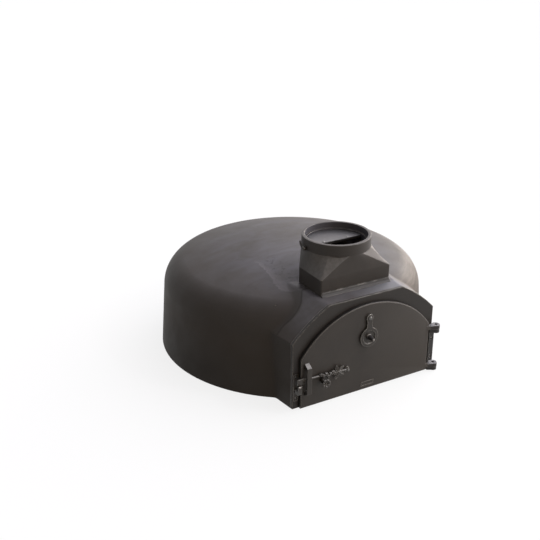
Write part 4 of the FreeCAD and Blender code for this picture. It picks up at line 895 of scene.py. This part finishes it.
PLATE_MIDDLE = (0.003, 0.0233)
PLATE_HALF = (0.025, 0.0078)
PLATE_CORNER = 0.0016
PLATE_LEAST_CORNER = 0.0003
PLATE_STEPS = ((0.0004, 0.0), (-0.0010, 0.0), (-0.0014, 0.0004), (-0.0014, 0.0014), (-0.0008, 0.0018))
plate_loops = []
for depth, inset in PLATE_STEPS:
    half = [size - inset for size in PLATE_HALF]
    corner = max(PLATE_CORNER - inset, PLATE_LEAST_CORNER)
    plate_loops.append(rounded_loop(PLATE_MIDDLE, half, corner, DOOR_FACE_Y + depth))
plate = one_piece("bare_plate", [skin_loops("bare_plate", plate_loops)])
stand_in(plate, door_paint, "door", "cast_iron_paint")

# Latch guide: a bent iron strap on the door that the latch bar lifts in.
# Two screws go through its feet, and its sloping top is rubbed by the hand and carries a painted highlight.
ease("latch_guide", CASTING_ARRIS, graphite_black, "door")
guide_screws = [(-0.225, -0.470, z) for z in (0.055, 0.148)]
screws("guide_screws", guide_screws, painted_screw, "door", **{"Shank Length": 0.016})

# Latch lever: a cast iron vine that turns on a domed rivet. A lobed leaf with raised veins and a row
# of buds sit on the stem, and a rosette hangs from it for the finger.
# The flat tongue at its end drops behind the keeper's nose.
LEVER_Y = -0.4725
PIVOT = Vector((-0.079, LEVER_Y, 0.098))
STEM_END = Vector((-0.242, LEVER_Y, 0.106))


def stem_point(x):
    """A place on the stem's line, by its distance across."""
    return PIVOT.lerp(STEM_END, (x - PIVOT.x) / (STEM_END.x - PIVOT.x))


def tube(name, points, radii, sides=14):
    """A round bar through points, with its own radius at each."""
    loops = []
    for i, point in enumerate(points):
        ahead = points[min(i + 1, len(points) - 1)] - points[max(i - 1, 0)]
        frame_x = ahead.normalized().orthogonal().normalized()
        frame_y = ahead.normalized().cross(frame_x)
        turns = [2 * math.pi * k / sides for k in range(sides)]
        loops.append([point + radii[i] * (math.cos(t) * frame_x + math.sin(t) * frame_y) for t in turns])
    return skin_loops(name, loops)


def lathe_loops(steps, x, z):
    """Loops of a piece turned about a line that runs to the front, from (depth, radius) steps."""
    return [[(x + r * math.cos(t), y, z + r * math.sin(t)) for t in CIRCLE] for y, r in steps]


STEM_STEPS = 33
STEM_R = 0.0034
KNOT_RISE = 0.0004
KNOT_PACE = 22.0
stem_shares = [step / (STEM_STEPS - 1) for step in range(STEM_STEPS)]
stem_points = [PIVOT.lerp(STEM_END, share) for share in stem_shares]
stem_radii = [STEM_R + KNOT_RISE * math.sin(KNOT_PACE * share) for share in stem_shares]
stem = tube("vine_stem", stem_points, stem_radii)

LEAF_MIDDLE = stem_point(-0.1145)
LEAF_REACH = 0.0262
LEAF_WAIST, LEAF_FULL, LEAF_TIP, LEAF_TOOTH = 0.30, 0.86, 0.14, 0.03
LEAF_LOBES = 5
LEAF_SPOKES = 180
LEAF_RINGS = 14
LEAF_BACK = 0.0008
LEAF_MIDDLE_RISE, LEAF_CURL = 0.0012, 0.0040
VEIN_RISE, VEIN_HALF_W, VEIN_FADE = 0.0020, 0.0014, 0.6
EDGE_DROP, EDGE_HALF_W = 0.0022, 0.0075


def leaf_rim(turn):
    """Reach of the leaf in one direction: full lobes with a small point and a toothed edge."""
    bearing = LEAF_LOBES / 2 * (turn - math.pi)
    full = abs(math.cos(bearing)) ** 0.75
    tip = (1 - abs(math.sin(bearing))) ** 2
    teeth = LEAF_TOOTH * abs(math.sin(5 * bearing))
    return LEAF_REACH * (LEAF_WAIST + (LEAF_FULL - LEAF_WAIST) * full + LEAF_TIP * tip - teeth)


def leaf_height(out, turn, share):
    """How far the leaf stands forward: curled up at the tips, with a vein to each and edges turned down."""
    height = LEAF_MIDDLE_RISE + LEAF_CURL * share ** 2
    for lobe in range(LEAF_LOBES):
        axis = math.pi + 2 * math.pi * lobe / LEAF_LOBES
        along = out * math.cos(turn - axis)
        across = out * math.sin(turn - axis)
        if along > 0:
            height += VEIN_RISE * math.exp(-((across / VEIN_HALF_W) ** 2)) * (1 - VEIN_FADE * share ** 2)
            height -= EDGE_DROP * share * min(1.0, (across / EDGE_HALF_W) ** 2)
    return height


leaf_loops = []
for ring in range(-1, LEAF_RINGS):
    share = 1.0 if ring < 0 else 1 - ring / LEAF_RINGS
    loop = []
    for spoke in range(LEAF_SPOKES):
        turn = 2 * math.pi * spoke / LEAF_SPOKES
        out = share * leaf_rim(turn)
        forward = -LEAF_BACK if ring < 0 else leaf_height(out, turn, share)
        loop.append(LEAF_MIDDLE + Vector((out * math.cos(turn), -LEAF_BACK - forward, out * math.sin(turn))))
    leaf_loops.append(loop)
leaf = skin_loops("vine_leaf", leaf_loops)

TONGUE_MIDDLE = (-0.249, 0.102)
TONGUE_HALF = (0.013, 0.010)
TONGUE_CORNER = 0.0032
TONGUE_STEPS = ((-0.4695, 0.0008), (-0.4703, 0.0), (-0.4747, 0.0), (-0.4755, 0.0008))
tongue_loops = []
for y, inset in TONGUE_STEPS:
    tongue_loops.append(rounded_loop(TONGUE_MIDDLE, [size - inset for size in TONGUE_HALF], TONGUE_CORNER, y))
tongue = skin_loops("latch_tongue", tongue_loops)
EYE_STEPS = ((-0.4690, 0.0052), (-0.4698, 0.0060), (-0.4750, 0.0060), (-0.4758, 0.0052))
eye = skin_loops("latch_eye", lathe_loops(EYE_STEPS, PIVOT.x, PIVOT.z))

ROSE_FROM = stem_point(-0.170)
ROSE_FORWARD = 0.0055
ROSE_DROP = 0.0195
ROSE = ROSE_FROM - Vector((0.0, ROSE_FORWARD, ROSE_DROP))
ROSE_STEPS = (
    (0.0100, 0.0060), (0.0090, 0.0080), (-0.0040, 0.0070), (-0.0080, 0.0080),
    (-0.0110, 0.0098), (-0.0138, 0.0102), (-0.0146, 0.0092), (-0.0146, 0.0046),
    (-0.0120, 0.0040), (-0.0118, 0.0022), (-0.0150, 0.0016),
)
rose = skin_loops("rosette_cup", lathe_loops([(ROSE.y + y, r) for y, r in ROSE_STEPS], ROSE.x, ROSE.z))
STALK_DROP = 0.010
STALK_END_R = 0.0040
stalk_bend = ROSE_FROM - Vector((0.0, 0.0, STALK_DROP))
stalk_end = ROSE + Vector((0.0, ROSE_FORWARD, 0.0))
stalk = tube("rosette_stalk", [ROSE_FROM, stalk_bend, stalk_end], [STEM_R, STEM_R, STALK_END_R])

BUD_PLACES = (
    (-0.178, 0.0042), (-0.169, -0.0006), (-0.160, 0.0034),
    (-0.152, -0.0058), (-0.145, 0.0012), (-0.135, 0.0054),
)
BUD_FORWARD = 0.0020
bud_sizes = {"Bud Radius": 0.0060, "Bud Depth": 0.0060, "Dimple": 0.50}
bud_tree, given, gives = new_grower("vine_buds", bud_sizes)
inputs = {"Segments": 30, "Rings": 18, "Radius": 1.0}
ball = get(bud_tree, "GeometryNodeMeshUVSphere", inputs, key="Mesh")
spot = axes_of(get(bud_tree, "GeometryNodeInputPosition"))
bearing = calc("ARCTAN2", spot["Y"], spot["X"])
girth = calc("ADD", times(spot["X"], spot["X"]), times(spot["Y"], spot["Y"]))
groove = times(calc("COSINE", times(bearing, 5.0)), 0.16)
swollen = calc("ADD", times(groove, girth), 1.0)
dip = calc("EXPONENT", times(girth, -7.0))
dip = times(dip, given["Dimple"], ranged(spot["Z"], 0.0, 0.5))
lowered = calc("SUBTRACT", spot["Z"], dip)
moved = triple(bud_tree, times(spot["X"], swollen), times(spot["Y"], swollen), lowered)
bud = get(bud_tree, "GeometryNodeSetPosition", {"Geometry": ball, "Position": moved})
bud_size = triple(bud_tree, given["Bud Radius"], given["Bud Radius"], given["Bud Depth"])
bud = get(bud_tree, "GeometryNodeTransform", {"Geometry": bud, "Scale": bud_size})
inputs = {2: 0.0, 3: 6.2, "Seed": 2}
bud_turn = get(bud_tree, "FunctionNodeRandomValue", inputs, data_type="FLOAT", key=1)
set_down(bud_tree, given["Places"], bud, FACING_FRONT, bud_turn, given, gives)
bud_places = [stem_point(x) + Vector((0.0, -BUD_FORWARD, lift)) for x, lift in BUD_PLACES]
buds = grow("vine_buds", bud_tree, bud_places, graphite_black, bud_sizes)

PETAL_FORWARD = 0.0150
petal_sizes = {
    "Petals": 7.0, "Ring Radius": 0.0108,
    "Petal Length": 0.0094, "Petal Width": 0.0098, "Petal Depth": 0.0052,
}
petal_tree, given, gives = new_grower("rosette_petals", petal_sizes)
inputs = {"Vertices": given["Petals"], "Radius": given["Ring Radius"]}
ring = get(petal_tree, "GeometryNodeMeshCircle", inputs)
inputs = {"Segments": 20, "Rings": 12, "Radius": 0.5}
ball = get(petal_tree, "GeometryNodeMeshUVSphere", inputs, key="Mesh")
spot = axes_of(get(petal_tree, "GeometryNodeInputPosition"))
flare = calc("ADD", times(spot["X"], 0.7), 0.95)
spread = times(spot["Y"], flare)
bowed = times(calc("POWER", spot["Y"], 2.0), 1.1)
curled = triple(petal_tree, spot["X"], spread, calc("ADD", spot["Z"], bowed))
petal = get(petal_tree, "GeometryNodeSetPosition", {"Geometry": ball, "Position": curled})
petal_size = triple(petal_tree, given["Petal Length"], given["Petal Width"], given["Petal Depth"])
petal = get(petal_tree, "GeometryNodeTransform", {"Geometry": petal, "Scale": petal_size})
step = calc("DIVIDE", 2 * math.pi, given["Petals"])
fan = times(get(petal_tree, "GeometryNodeInputIndex"), step)
way = get(petal_tree, "FunctionNodeEulerToRotation", {0: triple(petal_tree, 0.0, 0.0, fan)})
inputs = {"Points": ring, "Instance": petal, "Rotation": way}
flower = get(petal_tree, "GeometryNodeInstanceOnPoints", inputs)
set_down(petal_tree, given["Places"], flower, FACING_FRONT, 0.2, given, gives)
petal_place = ROSE - Vector((0.0, PETAL_FORWARD, 0.0))
petals = grow("rosette_petals", petal_tree, [petal_place], graphite_black, petal_sizes)

vine = one_piece("vine_lever", [stem, leaf, tongue, eye, rose, stalk, buds.data, petals.data])
for grown in (buds, petals):
    bpy.data.objects.remove(grown)
soften(vine.data)
stand_in(vine, graphite_black, "latch", "cast_iron_paint", "latch_lever")
rivet_steel = turned_steel("rubbed_rivet", colour=(0.10, 0.096, 0.090), bright=(0.55, 0.52, 0.48), rough=0.36)
PIN_STEPS = (
    (-0.4640, 0.0030), (-0.4756, 0.0030), (-0.4758, 0.0044),
    (-0.4776, 0.0043), (-0.4790, 0.0034), (-0.4797, 0.0018),
)
pin = one_piece("latch_pin", [skin_loops("latch_pin", lathe_loops(PIN_STEPS, PIVOT.x, PIVOT.z))])
stand_in(pin, rivet_steel, "door", "bare_steel", "latch_pivot")

# Air vent: a cast keyhole cover with a dished middle, hung from a rivet over a round port in the door.
# A turned steel knob in the dish swings it aside.
VENT_MIDDLE_Z = 0.190
VENT_DISH_R = 0.0180
VENT_DISH_SEEN_R = 0.0222
VENT_FRONT_Y = -0.467
VENT_ARRIS = 0.0008
KNOB_COLLAR_Y = (-0.4732, -0.4722)
KNOB_TIP_Y = (-0.4948, -0.4956)
KNOB_HIGHLIGHT = (0.26, 0.25, 0.24)


def widen_dish(place):
    """Brings the dish's wall out to a broad lip."""
    reach = math.hypot(place.x, place.z - VENT_MIDDLE_Z)
    if 0.4 * VENT_DISH_R < reach < 1.02 * VENT_DISH_R and place.y < VENT_FRONT_Y:
        share = VENT_DISH_SEEN_R / VENT_DISH_R
        return Vector((place.x * share, place.y, VENT_MIDDLE_Z + (place.z - VENT_MIDDLE_Z) * share))
    return place


vent_black = graphite("vent_black", edge=0.0038, cover=0.64)[0]
ease("vent_cover", VENT_ARRIS, vent_black, "vent", reshape=widen_dish)
dress(rivet_steel, "vent_rivet")
KNOB_STEPS = (
    (-0.4685, 0.0096), (-0.4705, 0.0102), (-0.4722, 0.0096), (-0.4730, 0.0084),
    (-0.4770, 0.0080), (-0.4830, 0.0070), (-0.4890, 0.0056), (-0.4925, 0.0050),
    (-0.4945, 0.0046), (-0.4956, 0.0036), (-0.4960, 0.0018),
)
knob_loops = lathe_loops(KNOB_STEPS, 0.0, VENT_MIDDLE_Z)
knob = one_piece("vent_knob_turned", [skin_loops("vent_knob_turned", knob_loops)])
knob_steel, tree, shader, body = stove_paint(
    "blued_knob", paint=(0.026, 0.023, 0.023), under=(0.45, 0.42, 0.38),
    grain=900.0, depth=0.00008, edge=0.0012, gloss=0.36, sheen=0.30, bare=0.8,
)
# The knob's tip is bright, and a painted highlight lies on the upper side of its collar.
forward = axes_of(object_place(tree))["Y"]
upward = axes_of(facing(tree))["Z"]
collar = times(ranged(forward, *KNOB_COLLAR_Y), ranged(upward, 0.30, 0.70))
polished_and_highlit = calc("MAXIMUM", collar, ranged(forward, *KNOB_TIP_Y))
feed(shader, {"Base Color": mixed(polished_and_highlit, body, KNOB_HIGHLIGHT)})
stand_in(knob, knob_steel, "vent", "bare_steel", "vent_knob")

# Studio: a wide pale floor and soft window light, strong from the right and behind, weak on the left.
# A little warm light comes back from the front.
WHITE = (1.0, 1.0, 1.0)
FLOOR_REACH = 60.0
FLOOR_GREY = (0.14, 0.14, 0.14)
FLOOR_GLOW = 0.825


def shown_rays(tree):
    """1 on rays from the camera, a reflection or a clear piece, and 0 on light that falls on the oven."""
    rays = node(tree, "ShaderNodeLightPath").outputs
    passed_on = calc("MAXIMUM", rays["Is Glossy Ray"], rays["Is Transmission Ray"])
    return calc("MAXIMUM", rays["Is Camera Ray"], passed_on)


floor_mesh = bpy.data.meshes.new("floor")
corners = [(x * FLOOR_REACH, y * FLOOR_REACH, 0) for x, y in ((-1, -1), (1, -1), (1, 1), (-1, 1))]
floor_mesh.from_pydata(corners, [], [(0, 1, 2, 3)])
floor = put("floor", floor_mesh)
pale_floor, tree, shader = new_finish("pale_floor")
feed(shader, {
    "Base Color": (*FLOOR_GREY, 1.0),
    "Roughness": 0.9,
    "Specular IOR Level": 0.0,
    "Emission Color": (*WHITE, 1.0),
    "Emission Strength": times(shown_rays(tree), FLOOR_GLOW),
})
floor_mesh.materials.append(pale_floor)
# Each window: bearing and height in degrees, the cosine at its edge, and its light.
WINDOWS = (
    (0, 12, 0.62, (1.64, 1.64, 1.62)),
    (0, 45, 0.62, (3.20, 3.12, 3.32)),
    (6, 9, 0.985, (7.0, 4.8, 3.2)),
    (26, 6, 0.965, (11.0, 9.7, 8.3)),
    (30, 20, 0.93, (1.50, 1.50, 1.54)),
    (50, 20, 0.93, (2.00, 1.85, 1.66)),
    (45, 45, 0.62, (0.14, 0.16, 0.34)),
    (90, 45, 0.62, (0.44, 0.43, 0.46)),
    (270, 12, 0.62, (1.12, 0.86, 0.60)),
)
ROOM_GREY = (0.03, 0.03, 0.03)
sky = bpy.data.worlds.new("soft_sky")
bpy.context.scene.world = sky
sky.use_nodes = True
tree = sky.node_tree
direction = get(tree, "ShaderNodeTexCoord", key="Generated")
colour = ROOM_GREY
for turn, rise, width, tint in WINDOWS:
    turn, rise = math.radians(turn), math.radians(rise)
    middle = (math.cos(turn) * math.cos(rise), math.sin(turn) * math.cos(rise), math.sin(rise))
    towards = vector_calc("DOT_PRODUCT", direction, middle)
    colour = mixed(ranged(towards, width, 1.0), colour, tint, "ADD")
colour = mixed(shown_rays(tree), colour, WHITE, "LIGHTEN")
feed(tree.nodes["Background"], {"Color": colour})


def soft_lamp(name, place, aim, size, power, tint):
    """A soft lamp turned to a point."""
    lamp = bpy.data.lights.new(name, "AREA")
    lamp.shape = "RECTANGLE"
    lamp.size, lamp.size_y = size
    lamp.energy = power
    lamp.color = tint
    holder = put(name, lamp)
    holder.location = place
    holder.rotation_euler = (Vector(aim) - Vector(place)).to_track_quat("-Z", "Y").to_euler()
    holder.visible_camera = False


soft_lamp("overhead", (1.15, -1.20, 2.2), (0.0, -0.40, 0.15), (0.4, 0.4), 10.0, (1.0, 0.99, 0.98))
soft_lamp("door_side", (1.35, -1.55, 0.55), (0.1, -0.47, 0.15), (0.5, 0.5), 3.4, (1.0, 0.98, 0.96))

VIEW_WAY = Vector((0.4567, 0.7958, -0.3975))
lens = bpy.data.cameras.new("camera")
lens.lens = 59.70
lens.sensor_width = 36.0
camera = put("camera", lens)
camera.location = (-1.5012, -2.4659, 1.4909)
camera.rotation_euler = VIEW_WAY.to_track_quat("-Z", "Y").to_euler()
bpy.context.scene.camera = camera
bpy.context.scene.view_settings.view_transform = "Standard"
